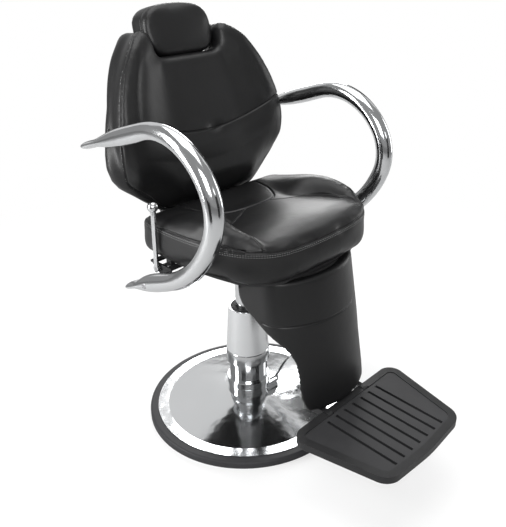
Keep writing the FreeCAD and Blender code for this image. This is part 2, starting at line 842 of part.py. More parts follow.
def build_arms():
    sections, lower_start, lower_heading = arm_sections()
    arm = Part.makeLoft(sections, True, False).translated(X_AXIS * at.arm_plane)
    slope = lower_heading.z / lower_heading.y
    screw_z = lower_start.z + (at.mount_apex_back - lower_start.y) * slope
    head_x = at.arm_plane + at.arm_tube_radius - at.arm_screw_head
    in_head = Vector(head_x, at.mount_apex_back, screw_z)
    length = head_x - at.mount_inner + at.mount_sheet
    hole = Part.makeCylinder(at.arm_screw_radius + at.running_gap, length, in_head, -X_AXIS)
    sink = Part.makeCylinder(at.arm_screw_head_radius + at.fit_gap, at.arm_tube_radius, in_head, X_AXIS)
    head = Part.makeCylinder(at.arm_screw_head_radius, at.arm_screw_head, in_head, X_AXIS)
    head = head.makeFillet(at.arm_screw_head / 2, [edge for edge in head.Edges
                                                   if edge.BoundBox.XMin > head_x + at.running_gap])
    shank = Part.makeCylinder(at.arm_screw_radius, length - at.mount_sheet, in_head, -X_AXIS)
    screw = head.fuse(shank).removeSplitter()
    mount = arm_mount(screw_z).cut(arm).cut(hole)
    arm = arm.cut([hole, sink])
    for side, name in ((1, "left"), (-1, "right")):
        free_shape(f"arm_{name}", mirrored_x(arm, side))
        free_shape(f"arm_screw_{name}", mirrored_x(screw, side))
        free_shape(f"arm_mount_{name}", mirrored_x(mount, side))


def prism(points, start, depth):
    """Prism along X of a polygon in the YZ plane."""
    corners = [Vector(start, y, z) for y, z in points]
    return Part.Face(Part.makePolygon(corners + corners[:1])).extrude(X_AXIS * depth)


def mirrored_x(shape, side):
    """The shape itself on the left, its mirror image on the right."""
    return shape if side > 0 else shape.mirror(Vector(0, 0, 0), X_AXIS)


def arm_mount(screw_z):
    """Steel plate with a boss against the arm's lower leg and two tabs under the seat board."""
    top = at.board_bottom - at.fit_gap
    apex = at.mount_apex_back
    half = at.mount_apex_half
    plate = prism([(at.mount_front, top), (at.mount_rear, top), (apex + half, screw_z - half),
                   (apex - half, screw_z - half)], at.mount_inner, at.mount_sheet)
    boss = Part.makeCylinder(at.mount_boss_radius, at.arm_plane - at.mount_inner - at.mount_sheet,
                             Vector(at.mount_inner, apex, screw_z), X_AXIS)
    tab_start = at.mount_inner - at.mount_tab_reach + at.mount_sheet
    tabs = [Part.makeBox(at.mount_tab_reach, at.mount_tab_width, at.mount_sheet,
                         Vector(tab_start, y, top - at.mount_sheet))
            for y in (at.mount_front, at.mount_rear - at.mount_tab_width)]
    gap_start = Vector(at.mount_inner - at.cut_overrun / 2, at.release_rod_back, at.release_rod_height)
    rod_gap = Part.makeCylinder(at.release_rod_radius + at.mount_rod_clearance,
                                at.mount_sheet + at.cut_overrun, gap_start, X_AXIS)
    return plate.fuse([boss] + tabs).removeSplitter().cut(rod_gap)


# Recline release lever, on the sitter's right only


def build_release():
    """Rod under the seat, its two bearings, and the lever with its knob."""
    rod_axis = ("release_rod_back", "release_rod_height")
    lever_outer = "release_lever_plane + release_lever_thickness"
    rod = new_body("release_rod")
    pad(rod, "YZ_Plane", circle(*rod_axis, "release_rod_radius"), f"-({lever_outer})",
        f"{lever_outer} - release_rod_inner")
    lever = new_body("release_lever")
    plane = f"-({lever_outer})"
    half = "release_lever_width / 2"
    pad(lever, "YZ_Plane", circle(*rod_axis, "release_lever_eye"), plane, "release_lever_thickness")
    pad(lever, "YZ_Plane", [
        (f"release_rod_back - {half}", "release_rod_height"),
        (f"release_rod_back + {half}", "release_rod_height"),
        (f"release_knob_back + {half}", "release_knob_height - release_knob_radius"),
        (f"release_knob_back - {half}", "release_knob_height - release_knob_radius"),
    ], plane, "release_lever_thickness")
    pocket(lever, "YZ_Plane", circle(*rod_axis, "release_rod_radius"), f"{plane} - cut_overrun",
           "release_lever_thickness + 2 * cut_overrun")
    knob_x = -(at.release_lever_plane + at.release_lever_thickness / 2)
    centre = Vector(knob_x, at.release_knob_back, at.release_knob_height)
    collar_low = centre - Z_AXIS * (at.release_knob_radius + at.release_collar_length / 2)
    collar = Part.makeCylinder(at.release_collar_radius, at.release_collar_length, collar_low)
    doc.recompute()
    ball = Part.makeSphere(at.release_knob_radius, centre).fuse(collar).removeSplitter()
    free_shape("release_knob", ball.cut(lever.Shape))
    for number, place in ((1, "release_bearing_outer"),
                          (2, "release_rod_inner + release_bearing_width")):
        bearing = new_body(f"release_bearing_{number}")
        start = f"-({place})"
        pad(bearing, "YZ_Plane", circle(*rod_axis, "release_bearing_radius"), start, "release_bearing_width")
        foot = rectangle("release_rod_back - release_bearing_radius",
                         "release_rod_back + release_bearing_radius", "release_rod_height", "board_bottom")
        pad(bearing, "YZ_Plane", foot, start, "release_bearing_width")
        pocket(bearing, "YZ_Plane", circle(*rod_axis, "release_rod_radius + running_gap"),
               f"{start} - cut_overrun", "release_bearing_width + 2 * cut_overrun")


# Backrest, drawn upright in its own plane: X across, Y behind the plane, Z up the plane.


def back_placement():
    return Placement(Vector(0, at.back_foot, at.back_foot_height), Rotation(X_AXIS, -at.back_lean))


# Half outline: shares of the half width and the height, how much of an inset each point takes, and how far
# the seam stands in front of its plane there, as a share of the wings' reach.
BACK_SHARES = {
    "bottom": (0.0, -0.101, 1.0, -0.6),
    "bottom_corner": (0.54, -0.088, 1.0, -0.6),
    "lower_bend_start": (0.90, 0.110, 1.0, -0.2),
    "lower_bend": (0.962, 0.184, 1.0, 0.25),
    "lower_bend_end": (0.98, 0.28, 1.0, 0.60),
    "side": (0.950, 0.47, 1.0, 0.92),
    "shoulder_start": (0.90, 0.60, 0.95, 1.0),
    "shoulder": (0.82, 0.735, 0.8, 1.0),
    "shoulder_end": (0.69, 0.875, 0.55, 0.95),
    "ear_bend": (0.59, 0.952, 0.4, 0.75),
}
EAR_WING_SHARE = 0.3
NOTCH_INSET_SHARE = 0.2
# Height that insets draw towards, and the height up to which the foot sinks, as shares of the height.
BACK_CENTRE_SHARE = 0.45
BACK_SINK_SHARE = 0.3
# Height of the sewn groove's lowest point and how far its ends rise, as shares of the height.
BACK_DIP_SHARE = 0.31
BACK_RISE_SHARE = 0.14
# Sections from the front face to the seam: depth as a share of the seam's, then shares of the crown's inset,
# of the foot's sink, of the inset at the foot, and of the wings' reach.
BACK_CROWN_SHARES = [(0.12, 1, 0, 1, 0), (0.35, 0.36, 0.15, 1, 0.78), (0.72, 0.08, 0.3, 1, 1)]
# Sections from the seam to the rear face: way there, then the same shares, of the rear's own inset.
BACK_BAND_SHARES = [(0, 0, 0.5, 1, 1), (0.5, 0.35, 1, 0, 0.5), (1, 1, 0.8, 0, 0)]
# Heights between which the foot's own part of an inset ends, as shares of the height.
FOOT_START_SHARE = 0.2
FOOT_END_SHARE = 0.55


def back_wire(inset, depth, sink, foot_share, wing):
    """Backrest outline at one depth, drawn in by the inset, with its sides brought forward by the wing."""
    wide = at.back_half_width
    tall = at.back_height
    centre = Vector(0, depth, tall * BACK_CENTRE_SHARE)
    sink_reach = tall * BACK_SINK_SHARE
    foot_start = tall * FOOT_START_SHARE
    foot_reach = tall * FOOT_END_SHARE - foot_start

    def p(name, side=1):
        share_x, share_z, inset_share, wing_share = BACK_SHARES[name]
        z = share_z * tall
        lowered = z - sink * max(0, 1 - max(z, 0) / sink_reach)
        height_share = min(1, max(z - foot_start, 0) / foot_reach)
        inset_share *= foot_share + (1 - foot_share) * height_share
        place = Vector(side * share_x * wide, depth, lowered)
        drawn_in = place + (centre - place).normalize() * inset * inset_share
        return drawn_in - Y_AXIS * wing * wing_share

    notch = at.notch_half_width
    floor = tall - at.notch_depth
    corner = at.notch_corner
    slope = 1 - math.sqrt(0.5)
    drawn = inset * NOTCH_INSET_SHARE

    def half(side):
        def n(x, z, wing_share=0):
            return Vector(side * x, depth - wing * wing_share, z)

        points = [p("bottom_corner", side), p("lower_bend_start", side), p("lower_bend_end", side),
                  p("shoulder_start", side), p("shoulder_end", side),
                  n(notch + corner + drawn, tall - drawn, EAR_WING_SHARE),
                  n(notch + drawn * slope, tall - corner - drawn * slope),
                  n(notch + drawn * slope, floor + corner - drawn), n(notch - corner, floor - drawn)]
        arcs = {1: p("lower_bend", side), 2: p("side", side), 3: p("shoulder", side), 4: p("ear_bend", side),
                5: n(notch + (corner + drawn) * slope, tall - corner * slope - drawn * (1 - slope / 2),
                     EAR_WING_SHARE / 2),
                7: n(notch - (corner - drawn / 2) * slope, floor + corner * slope - drawn)}
        return points, arcs

    right_points, right_arcs = half(1)
    left_points, left_arcs = half(-1)
    count = len(right_points)
    points = right_points + left_points[::-1]
    arcs = dict(right_arcs)
    for index, through in left_arcs.items():
        arcs[2 * count - 2 - index] = through
    arcs[2 * count - 1] = p("bottom")
    return wire_through(points, arcs)


def back_board_wire(depth):
    """Outline of the backrest board, inside the cushion's rear face and below its notch."""
    inset = at.back_board_inset
    centre = Vector(0, depth, at.back_height / 2)

    def p(name, side):
        share_x, share_z = BACK_SHARES[name][:2]
        place = Vector(side * share_x * at.back_half_width, depth, share_z * at.back_height)
        return place + (centre - place).normalize() * inset

    notch_z = at.back_height - at.notch_depth - inset
    names = ["bottom_corner", "lower_bend_start", "lower_bend_end", "shoulder_start", "shoulder_end"]
    left = [p(name, 1) for name in names] + [Vector(at.notch_half_width, depth, notch_z)]
    right = [Vector(-point.x, point.y, point.z) for point in left]
    return wire_through(left + right[::-1], {1: p("lower_bend", 1), 2: p("side", 1), 3: p("shoulder", 1),
                                             7: p("shoulder", -1), 8: p("side", -1), 9: p("lower_bend", -1)})


def build_backrest():
    place = back_placement()
    seam = at.back_seam_depth
    rear = at.back_rear_depth
    sink = at.back_foot_sink
    wing = at.back_wing
    before = [back_wire(at.back_crown * inset_share, seam * depth_share, sink * sink_share, foot_share,
                        wing * wing_share)
              for depth_share, inset_share, sink_share, foot_share, wing_share in BACK_CROWN_SHARES]
    behind = [back_wire(at.back_rear_inset * inset_share, seam + (rear - seam) * way_share,
                        sink * sink_share, foot_share, wing * wing_share)
              for way_share, inset_share, sink_share, foot_share, wing_share in BACK_BAND_SHARES]
    cushion = Part.makeLoft(before + behind, True, True)
    dip = at.back_height * BACK_DIP_SHARE
    rise = at.back_height * BACK_RISE_SHARE
    front = seam * BACK_CROWN_SHARES[0][0] - at.cut_overrun
    arc_radius = (at.back_half_width ** 2 + rise ** 2) / (2 * rise)
    deep = at.back_groove_depth + at.cut_overrun
    groove_centre = Vector(0, front, dip + arc_radius)
    groove_outer = Part.makeCylinder(arc_radius, deep, groove_centre, Y_AXIS)
    groove_inner = Part.makeCylinder(arc_radius - at.back_groove_width, deep, groove_centre, Y_AXIS)
    flat = at.back_half_width - at.back_crown - at.back_groove_width
    limit = Part.makeBox(2 * flat, deep, at.back_height / 2,
                         Vector(-flat, front, dip - at.back_groove_width))
    cushion = cushion.cut(groove_outer.cut(groove_inner).common(limit))
    free_shape("backrest_cushion", cushion, place)
    board_front = rear + at.running_gap
    board = Part.Face(back_board_wire(board_front)).extrude(Y_AXIS * at.back_board_thickness)
    free_shape("backrest_board", board, place)


def back_plane_point(depth, height):
    """Depth behind the front plane and height up it, as a point of the YZ plane."""
    lean = math.radians(at.back_lean)
    y = at.back_foot + depth * math.cos(lean) + height * math.sin(lean)
    z = at.back_foot_height - depth * math.sin(lean) + height * math.cos(lean)
    return (y, z)


# Half widths of a back bar at its eye and at its foot, as shares of the eye's radius and the bar's depth.
BAR_EYE_SHARE = 0.8
BAR_FOOT_SHARE = 0.5


def link(start, end, start_half, end_half, place, thickness):
    """Flat link along X's plane between two points, with a half width at each."""
    ahead = Vector(0, end[0] - start[0], end[1] - start[1]).normalize()
    aside = (-ahead.z, ahead.y)
    corners = [(start[0] + aside[0] * start_half, start[1] + aside[1] * start_half),
               (start[0] - aside[0] * start_half, start[1] - aside[1] * start_half),
               (end[0] - aside[0] * end_half, end[1] - aside[1] * end_half),
               (end[0] + aside[0] * end_half, end[1] + aside[1] * end_half)]
    return prism(corners, place, thickness)


def build_recline_hinge():
    """Brackets under the seat board, the hinge shaft, and the bars that carry the backrest board."""
    shaft = (at.recline_back, at.recline_height)
    sheet_size = at.recline_bracket_sheet
    inner = at.recline_bracket_place
    top = at.board_bottom
    eye = at.recline_eye_radius
    shaft_half = inner + 2 * sheet_size + at.fit_gap + at.running_gap
    shaft_body = new_body("recline_shaft")
    pad(shaft_body, "YZ_Plane", circle("recline_back", "recline_height", "recline_shaft_radius"),
        "-(recline_bracket_place + 2 * recline_bracket_sheet + 2 * fit_gap)",
        "2 * (recline_bracket_place + 2 * recline_bracket_sheet + 2 * fit_gap)")
    board_rear = at.back_rear_depth + at.running_gap + at.back_board_thickness + at.running_gap
    tall = at.back_height
    foot = tall * at.back_bar_foot_share
    head = tall * at.back_bar_top_share
    bar_depth = at.back_bar_depth
    bar_start = inner + sheet_size + at.fit_gap
    web_front = shaft[0] - eye
    web_rear = shaft[0] + sheet_size
    web_low = top - at.recline_web_drop
    for side, name in ((1, "left"), (-1, "right")):
        web = prism([(at.recline_bracket_front, top), (at.recline_bracket_front, top - sheet_size),
                     (web_front, web_low), (web_rear, web_low), (web_rear, top)], inner, sheet_size)
        upright_low = min(web_low, shaft[1])
        upright = Part.makeBox(sheet_size, web_rear - web_front, max(top, shaft[1]) - upright_low,
                               Vector(inner, web_front, upright_low))
        ring = Part.makeCylinder(eye, sheet_size, Vector(inner, *shaft), X_AXIS)
        shelf = prism([(at.recline_bracket_front, top), (at.recline_bracket_front, top - sheet_size),
                       (at.seat_plate_size / 2, top - sheet_size), (at.seat_plate_size / 2, top)],
                      inner, at.recline_shelf)
        bore_start = Vector(inner - at.cut_overrun, *shaft)
        bore = Part.makeCylinder(at.recline_shaft_radius, shaft_half * 2, bore_start, X_AXIS)
        bracket = web.fuse([upright, ring, shelf]).removeSplitter().cut(bore)
        free_shape(f"recline_bracket_{name}", mirrored_x(bracket, side))
        low = back_plane_point(board_rear, foot)
        high = back_plane_point(board_rear, head)
        low_rear = back_plane_point(board_rear + bar_depth, foot)
        high_rear = back_plane_point(board_rear + sheet_size, head)
        bar = prism([low, low_rear, high_rear, high], bar_start, sheet_size)
        bar_foot = back_plane_point(board_rear + bar_depth / 2, foot + bar_depth / 2)
        leg = link(shaft, bar_foot, eye * BAR_EYE_SHARE, bar_depth * BAR_FOOT_SHARE, bar_start, sheet_size)
        bar_ring = Part.makeCylinder(eye, sheet_size, Vector(bar_start, *shaft), X_AXIS)
        flange = prism([low, high, high_rear, back_plane_point(board_rear + sheet_size, foot)], bar_start,
                       at.recline_shelf)
        bar_bore = Part.makeCylinder(at.recline_shaft_radius + at.running_gap, shaft_half * 2, bore_start,
                                     X_AXIS)
        bar = bar.fuse([leg, bar_ring, flange]).removeSplitter().cut(bar_bore)
        free_shape(f"back_bar_{name}", mirrored_x(bar, side))


# Headrest


def rounded_plate(half_width, low, high, corner, depth, thickness):
    """Plate in the leaned plane with four round corners."""
    c = corner * (1 - math.sqrt(0.5))

    def p(x, z):
        return Vector(x, depth, z)

    points = [p(half_width - corner, low), p(half_width, low + corner), p(half_width, high - corner),
              p(half_width - corner, high), p(-half_width + corner, high), p(-half_width, high - corner),
              p(-half_width, low + corner), p(-half_width + corner, low)]
    arcs = {0: p(half_width - c, low + c), 2: p(half_width - c, high - c), 4: p(-half_width + c, high - c),
            6: p(-half_width + c, low + c)}
    return Part.Face(wire_through(points, arcs)).extrude(Y_AXIS * thickness)


def build_headrest():
    place = back_placement()
    front = at.head_front_depth
    rear = at.head_rear_depth
    pillow = rounded_plate(at.head_half_width, at.head_bottom, at.head_top, at.head_corner, front,
                           rear - front)
    rounded = [edge for edge in pillow.Edges if abs(edge.CenterOfMass.y - front) < 1e-3]
    free_shape("headrest_cushion", pillow.makeFillet(at.head_round, rounded), place)
    board = rounded_plate(at.head_half_width - at.head_round, at.head_bottom + at.head_round,
                          at.head_top - at.head_round, at.head_corner - at.head_round / 2,
                          rear + at.running_gap, at.head_board_thickness)
    free_shape("headrest_board", board, place)
    post_front = at.back_rear_depth + at.back_board_thickness + at.guide_wall + 2 * at.fit_gap
    stem_top = at.head_top - 2 * at.head_round
    stem_low = at.head_bottom + 2 * at.head_round
    board_back = rear + at.running_gap + at.head_board_thickness
    for side, name in ((1, "left"), (-1, "right")):
        x = side * at.post_spacing / 2 - at.post_width / 2
        post = Part.makeBox(at.post_width, at.post_thickness, at.post_length,
                            Vector(x, post_front, stem_low - at.post_length + at.post_thickness))
        arm = Part.makeBox(at.post_width, post_front + at.post_thickness - board_back - at.running_gap,
                           at.post_thickness, Vector(x, board_back + at.running_gap, stem_low))
        tab = Part.makeBox(at.post_width, at.post_thickness, stem_top - stem_low,
                           Vector(x, board_back + at.running_gap, stem_low))
        free_shape(f"headrest_post_{name}", post.fuse([arm, tab]).removeSplitter(), place)
    guide_outer = at.post_spacing / 2 + at.post_width / 2 + at.guide_wall + at.fit_gap
    low = at.back_height - at.notch_depth - at.back_rear_inset - at.guide_height - at.guide_wall
    guide_depth = at.post_thickness + 2 * at.guide_wall + 2 * at.fit_gap
    block = Part.makeBox(2 * guide_outer, guide_depth, at.guide_height,
                         Vector(-guide_outer, post_front - at.guide_wall - at.fit_gap, low))
    slots = []
    for side in (1, -1):
        x = side * at.post_spacing / 2 - at.post_width / 2 - at.fit_gap
        slots.append(Part.makeBox(at.post_width + 2 * at.fit_gap, at.post_thickness + 2 * at.fit_gap,
                                  at.guide_height + 2 * at.cut_overrun,
                                  Vector(x, post_front - at.fit_gap, low - at.cut_overrun)))
    free_shape("headrest_guide", block.cut(slots), place)


# Leg panel

# Half of the U section, from the nose backwards, as shares of the half width.
PANEL_SHARES = {
    # across, behind the nose
    "nose": (0.0, 0.0),
    "front_end": (0.833, 0.287),
    "bend": (0.948, 0.425),
    "bend_end": (0.997, 0.60),
    "wing_end": (1.013, 1.65),
}
# Rear edge of the wings from bottom to top, as shares of the panel's height and its half width.
PANEL_EDGE_SHARES = [
    # height, in front of the axis
    (-0.02, 2.15),
    (0.197, 1.993),
    (0.415, 1.893),
    (0.523, 1.747),
    (0.602, 1.480),
    (0.683, 1.173),
    (0.744, 0.973),
    (0.800, 0.893),
    (0.877, 0.867),
    (1.02, 0.860),
]


def panel_section(inset):
    """Filled U outline at the panel's foot, closed at the rear and drawn in by the inset."""
    scale = at.panel_half_width
    nose_y = -at.panel_nose_low

    def p(name, side=1):
        across, behind = PANEL_SHARES[name]
        return Vector(side * across * scale, nose_y + behind * scale, at.panel_bottom)

    points = [p("front_end", -1), p("front_end"), p("bend_end"), p("wing_end"), p("wing_end", -1),
              p("bend_end", -1)]
    wire = wire_through(points, {0: p("nose"), 1: p("bend"), 5: p("bend", -1)})
    if inset:
        wire = wire.makeOffset2D(-inset)
    return Part.Face(wire)


def panel_shell(outer, inner, edge_inset):
    """Sheet of the panel between two insets, with its wings cut along the curved rear edge."""
    tall = at.panel_top - at.panel_bottom
    upward = Vector(0, at.panel_nose_low - at.panel_nose_high, tall)
    shell = panel_section(outer).extrude(upward).cut(panel_section(inner).extrude(upward))
    wide = 2 * at.panel_half_width
    edge = [Vector(-wide, -forward * at.panel_half_width - edge_inset, at.panel_bottom + height * tall)
            for height, forward in PANEL_EDGE_SHARES]
    curve = Part.BSplineCurve()
    curve.interpolate(edge)
    rear = wide
    closing = Part.makePolygon([edge[-1], Vector(-wide, rear, edge[-1].z), Vector(-wide, rear, edge[0].z),
                                edge[0]])
    behind = Part.Face(Part.Wire([curve.toShape()] + closing.Edges)).extrude(X_AXIS * 2 * wide)
    return shell.cut(behind)


def build_leg_panel():
    board_start = at.panel_pad + at.running_gap
    free_shape("leg_panel_pad", panel_shell(0, at.panel_pad, 0))
    board = panel_shell(board_start, board_start + at.panel_board, at.panel_board_inset)
    free_shape("leg_panel_board", board)


def build_leg_frame():
    """Steel frame under the seat board that carries the leg panel and the footrest bar."""
    plate_low = at.board_bottom - at.frame_plate_thickness - at.fit_gap
    scale = at.panel_half_width
    inset = at.panel_pad + at.panel_board + 2 * at.running_gap + at.fit_gap
    half = at.strut_spacing / 2
    tall = at.panel_top - at.panel_bottom
    shift = (at.panel_nose_low - at.panel_nose_high) / tall
    outline = panel_section(inset)
    front_limit = Part.makeBox(4 * half, at.panel_nose_low - at.frame_plate_rear, 2 * tall,
                               Vector(-2 * half, -at.panel_nose_low, 0))
    plate = outline.extrude(Z_AXIS * at.frame_plate_thickness)
    raised = plate_low - at.panel_bottom
    plate.translate(Vector(0, (raised + at.frame_plate_thickness) * shift, raised))
    plate = plate.common(front_limit)

    def inner_face(z):
        """Y of the panel's inner face at the outer side of a strut."""
        across, behind = PANEL_SHARES["front_end"]
        reach = across * scale
        depth = behind * scale
        radius = (reach ** 2 + depth ** 2) / (2 * depth)
        nose = -at.panel_nose_low + (z - at.panel_bottom) * shift + inset
        x = half + at.strut_width / 2
        return nose + radius - inset - math.sqrt((radius - inset) ** 2 - x ** 2)

    ends = [at.panel_bottom, plate_low + at.frame_plate_thickness / 2]
    front_line = [(inner_face(z), z) for z in ends]
    rear_line = [(y + at.strut_depth, z) for y, z in reversed(front_line)]
    lug_y = -at.foot_axis_front
    lug_z = at.foot_axis_height
    shapes = [plate]
    bore_length = at.foot_bar_length + 2 * at.cut_overrun
    bar_bore = Part.makeCylinder(at.foot_bar_radius + at.running_gap, bore_length,
                                 Vector(-bore_length / 2, lug_y, lug_z), X_AXIS)
    for side in (1, -1):
        start = side * half - at.strut_width / 2
        strut = prism(front_line + rear_line, start, at.strut_width)
        eye = Part.makeCylinder(at.foot_lug_radius, at.strut_width, Vector(start, lug_y, lug_z), X_AXIS)
        root_y = front_line[0][0]
        arm_top = at.panel_bottom - at.fit_gap
        arm = prism([(lug_y, lug_z + at.foot_lug_radius), (lug_y, lug_z - at.foot_lug_radius),
                     (root_y + at.strut_depth, lug_z - at.foot_lug_radius),
                     (root_y + at.strut_depth, arm_top + at.strut_depth), (root_y, arm_top + at.strut_depth),
                     (root_y, arm_top)], start, at.strut_width)
        shapes.extend([strut, eye, arm])
    frame = shapes[0].fuse(shapes[1:]).removeSplitter().cut(bar_bore)
    free_shape("leg_frame", frame)
    bar = new_body("footrest_bar")
    pad(bar, "YZ_Plane", circle("-foot_axis_front", "foot_axis_height", "foot_bar_radius"),
        "-foot_bar_length / 2", "foot_bar_length")


# Footrest, drawn level with its rear top edge at zero height and then tilted.


def rounded_wire(corners, radii):
    """Closed wire through corners, each rounded by a tangent arc of its radius."""
    points = []
    arcs = {}
    count = len(corners)
    for index, (corner, radius) in enumerate(zip(corners, radii)):
        back = (corners[index - 1] - corner).normalize()
        ahead = (corners[(index + 1) % count] - corner).normalize()
        half_angle = back.getAngle(ahead) / 2
        reach = radius / math.tan(half_angle)
        inward = (back + ahead).normalize()
        arcs[2 * index] = corner + inward * (radius / math.sin(half_angle) - radius)
        points += [corner + back * reach, corner + ahead * reach]
    return wire_through(points, arcs)


# Radius of the tray's front bow, as a share of its front half width.
TRAY_BOW_SHARE = 3


def tray_outline(inset, z):
    """Tray outline drawn in by an inset, at one height."""
    side_y = -at.tray_front + at.tray_front_bow
    half = [Vector(at.tray_rear_half, -at.tray_rear, z), Vector(at.tray_front_half, side_y, z)]
    middle = Vector(0, -at.tray_front, z)
    corners = half + [middle] + [Vector(-point.x, point.y, z) for point in reversed(half)]
    bow_radius = at.tray_front_half * TRAY_BOW_SHARE
    radii = [at.tray_rear_corner, at.tray_front_corner, bow_radius, at.tray_front_corner,
             at.tray_rear_corner]
    wire = rounded_wire(corners, radii)
    return wire.makeOffset2D(-inset) if inset else wire


def build_footrest():
    hinge = Vector(0, -at.foot_axis_front, at.foot_axis_height)
    top = at.foot_axis_height + at.foot_bar_radius + at.foot_bar_cover
    tilt = Rotation(X_AXIS, at.tray_slope)
    place = Placement(hinge - tilt.multVec(hinge), tilt)
    low = top - at.tray_thickness
    shell = Part.Face(tray_outline(0, low)).extrude(Z_AXIS * at.tray_thickness)
    lower_edges = [edge for edge in shell.Edges if abs(edge.CenterOfMass.z - low) < 1e-3]
    shell = shell.makeFillet(at.tray_floor / 2, lower_edges)
    well = Part.Face(tray_outline(at.tray_rim, low + at.tray_floor)).extrude(Z_AXIS * at.tray_thickness)
    notch = []
    notch_width = at.strut_width + 2 * at.tray_notch_clearance
    notch_front = at.foot_axis_front + at.foot_lug_radius + at.tray_notch_clearance
    for side in (1, -1):
        notch.append(Part.makeBox(notch_width, notch_front - at.tray_rear + at.cut_overrun,
                                  at.tray_thickness + 2 * at.cut_overrun,
                                  Vector(side * at.strut_spacing / 2 - notch_width / 2, -notch_front,
                                         low - at.cut_overrun)))
    bore = Part.makeCylinder(at.foot_bar_radius + at.running_gap, at.foot_bar_length + 2 * at.fit_gap,
                             hinge - X_AXIS * (at.foot_bar_length / 2 + at.fit_gap), X_AXIS)
    tray = shell.cut([well] + notch + [bore])
    free_shape("footrest_tray", tray, place)
    gap = at.running_gap
    tread_low = low + at.tray_floor + gap
    mat = Part.Face(tray_outline(at.tray_rim + gap, tread_low)).extrude(
        Z_AXIS * (at.tray_thickness - at.tray_floor - at.tread_drop - gap))
    box = mat.BoundBox
    pitch = 2 * (at.tray_front_half - at.tray_rim) / RIB_COUNT
    grooves = []
    for index in range(1, RIB_COUNT):
        x = (index - RIB_COUNT / 2) * pitch - at.tread_groove / 2
        grooves.append(Part.makeBox(at.tread_groove, box.YLength - at.tray_rim, at.tread_groove_depth,
                                    Vector(x, box.YMin + at.tray_rim / 2, box.ZMax - at.tread_groove_depth)))
    tread = mat.cut(grooves + notch)
    free_shape("footrest_tread", tread, place)


build_base()
build_pump()
build_piston()
build_pedal()
build_seat_frame()
build_seat_cushion()
build_arms()
build_release()
build_backrest()
build_recline_hinge()
build_headrest()
build_leg_panel()
build_leg_frame()
build_footrest()
doc.recompute()

faults = [f"{item.Name} {item.State}" for item in doc.Objects
          if "Invalid" in item.State or "Error" in item.State]
for item in PARTS:
    if item.Shape.isNull() or not item.Shape.isValid() or len(item.Shape.Solids) != 1:
        faults.append(f"{item.Label} shape, {len(item.Shape.Solids)} solids")
if faults:
    print("\n".join(faults))
    sys.exit(1)

os.makedirs("parts", exist_ok=True)
for item in PARTS:
    item.Shape.exportStep(f"parts/{item.Label}.step")
print(f"{len(PARTS)} parts written")
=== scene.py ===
import math

import bmesh
import bpy
import numpy
from bpy.props import FloatProperty, FloatVectorProperty, PointerProperty
from bpy.types import Operator, Panel, PropertyGroup
from mathutils import Matrix, Vector
from mathutils.bvhtree import BVHTree
from mathutils.kdtree import KDTree


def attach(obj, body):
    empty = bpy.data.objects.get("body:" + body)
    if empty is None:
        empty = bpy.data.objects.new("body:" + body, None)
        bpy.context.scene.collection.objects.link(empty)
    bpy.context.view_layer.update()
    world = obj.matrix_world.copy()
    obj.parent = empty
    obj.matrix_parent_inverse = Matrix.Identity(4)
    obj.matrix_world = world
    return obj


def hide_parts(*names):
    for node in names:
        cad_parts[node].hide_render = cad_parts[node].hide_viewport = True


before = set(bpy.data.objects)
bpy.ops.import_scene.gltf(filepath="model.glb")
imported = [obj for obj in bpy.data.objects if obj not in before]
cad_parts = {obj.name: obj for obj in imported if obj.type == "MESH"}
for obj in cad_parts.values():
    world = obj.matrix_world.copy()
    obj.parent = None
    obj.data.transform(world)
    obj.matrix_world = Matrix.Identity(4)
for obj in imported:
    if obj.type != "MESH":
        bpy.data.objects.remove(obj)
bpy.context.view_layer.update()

bl_info = {
    "name": "Threading chair",
    "version": (1, 0, 0),
    "blender": (4, 5, 0),
    "location": "View3D > Sidebar > Chair",
    "description": "Upholstery, chrome, rubber and studio for a threading chair",
    "category": "Object",
}


# Sizes and colours that a user would change


class ChairStageSettings(PropertyGroup):
    """Studio, lamps and camera."""

    floor_colour: FloatVectorProperty(
        name="Floor colour", description="Colour of the studio floor", subtype="COLOR", size=3,
        default=(0.93, 0.93, 0.93), min=0.0, max=1.0)
    key_power: FloatProperty(
        name="Key lamp", description="Power of the large lamp on the left", default=48.0, min=0.0, unit="POWER")
    top_power: FloatProperty(
        name="Top lamp", description="Power of the lamp above", default=40.0, min=0.0, unit="POWER")
    edge_power: FloatProperty(
        name="Edge lamp", description="Power of the narrow lamp beside the backrest", default=42.0, min=0.0,
        unit="POWER")
    fill_power: FloatProperty(
        name="Fill lamp", description="Power of the lamp on the right", default=16.0, min=0.0, unit="POWER")
    strip_power: FloatProperty(
        name="Strip lamp", description="Power of the narrow lamp in front", default=6.0, min=0.0, unit="POWER")
    back_power: FloatProperty(
        name="Back lamp", description="Power of the lamp behind on the right", default=46.0, min=0.0,
        unit="POWER")
    surround: FloatProperty(
        name="Surround", description="Light that comes from all sides", default=0.40, min=0.0)
    shine: FloatProperty(
        name="Shine", description="Brightness of the surround as metal shows it", default=0.34, min=0.0)
    wall: FloatProperty(
        name="Wall", description="Brightness of the far wall as metal shows it", default=0.80, min=0.0)
    lens: FloatProperty(
        name="Lens", description="Focal length of the camera", default=46.66, min=1.0, unit="CAMERA")


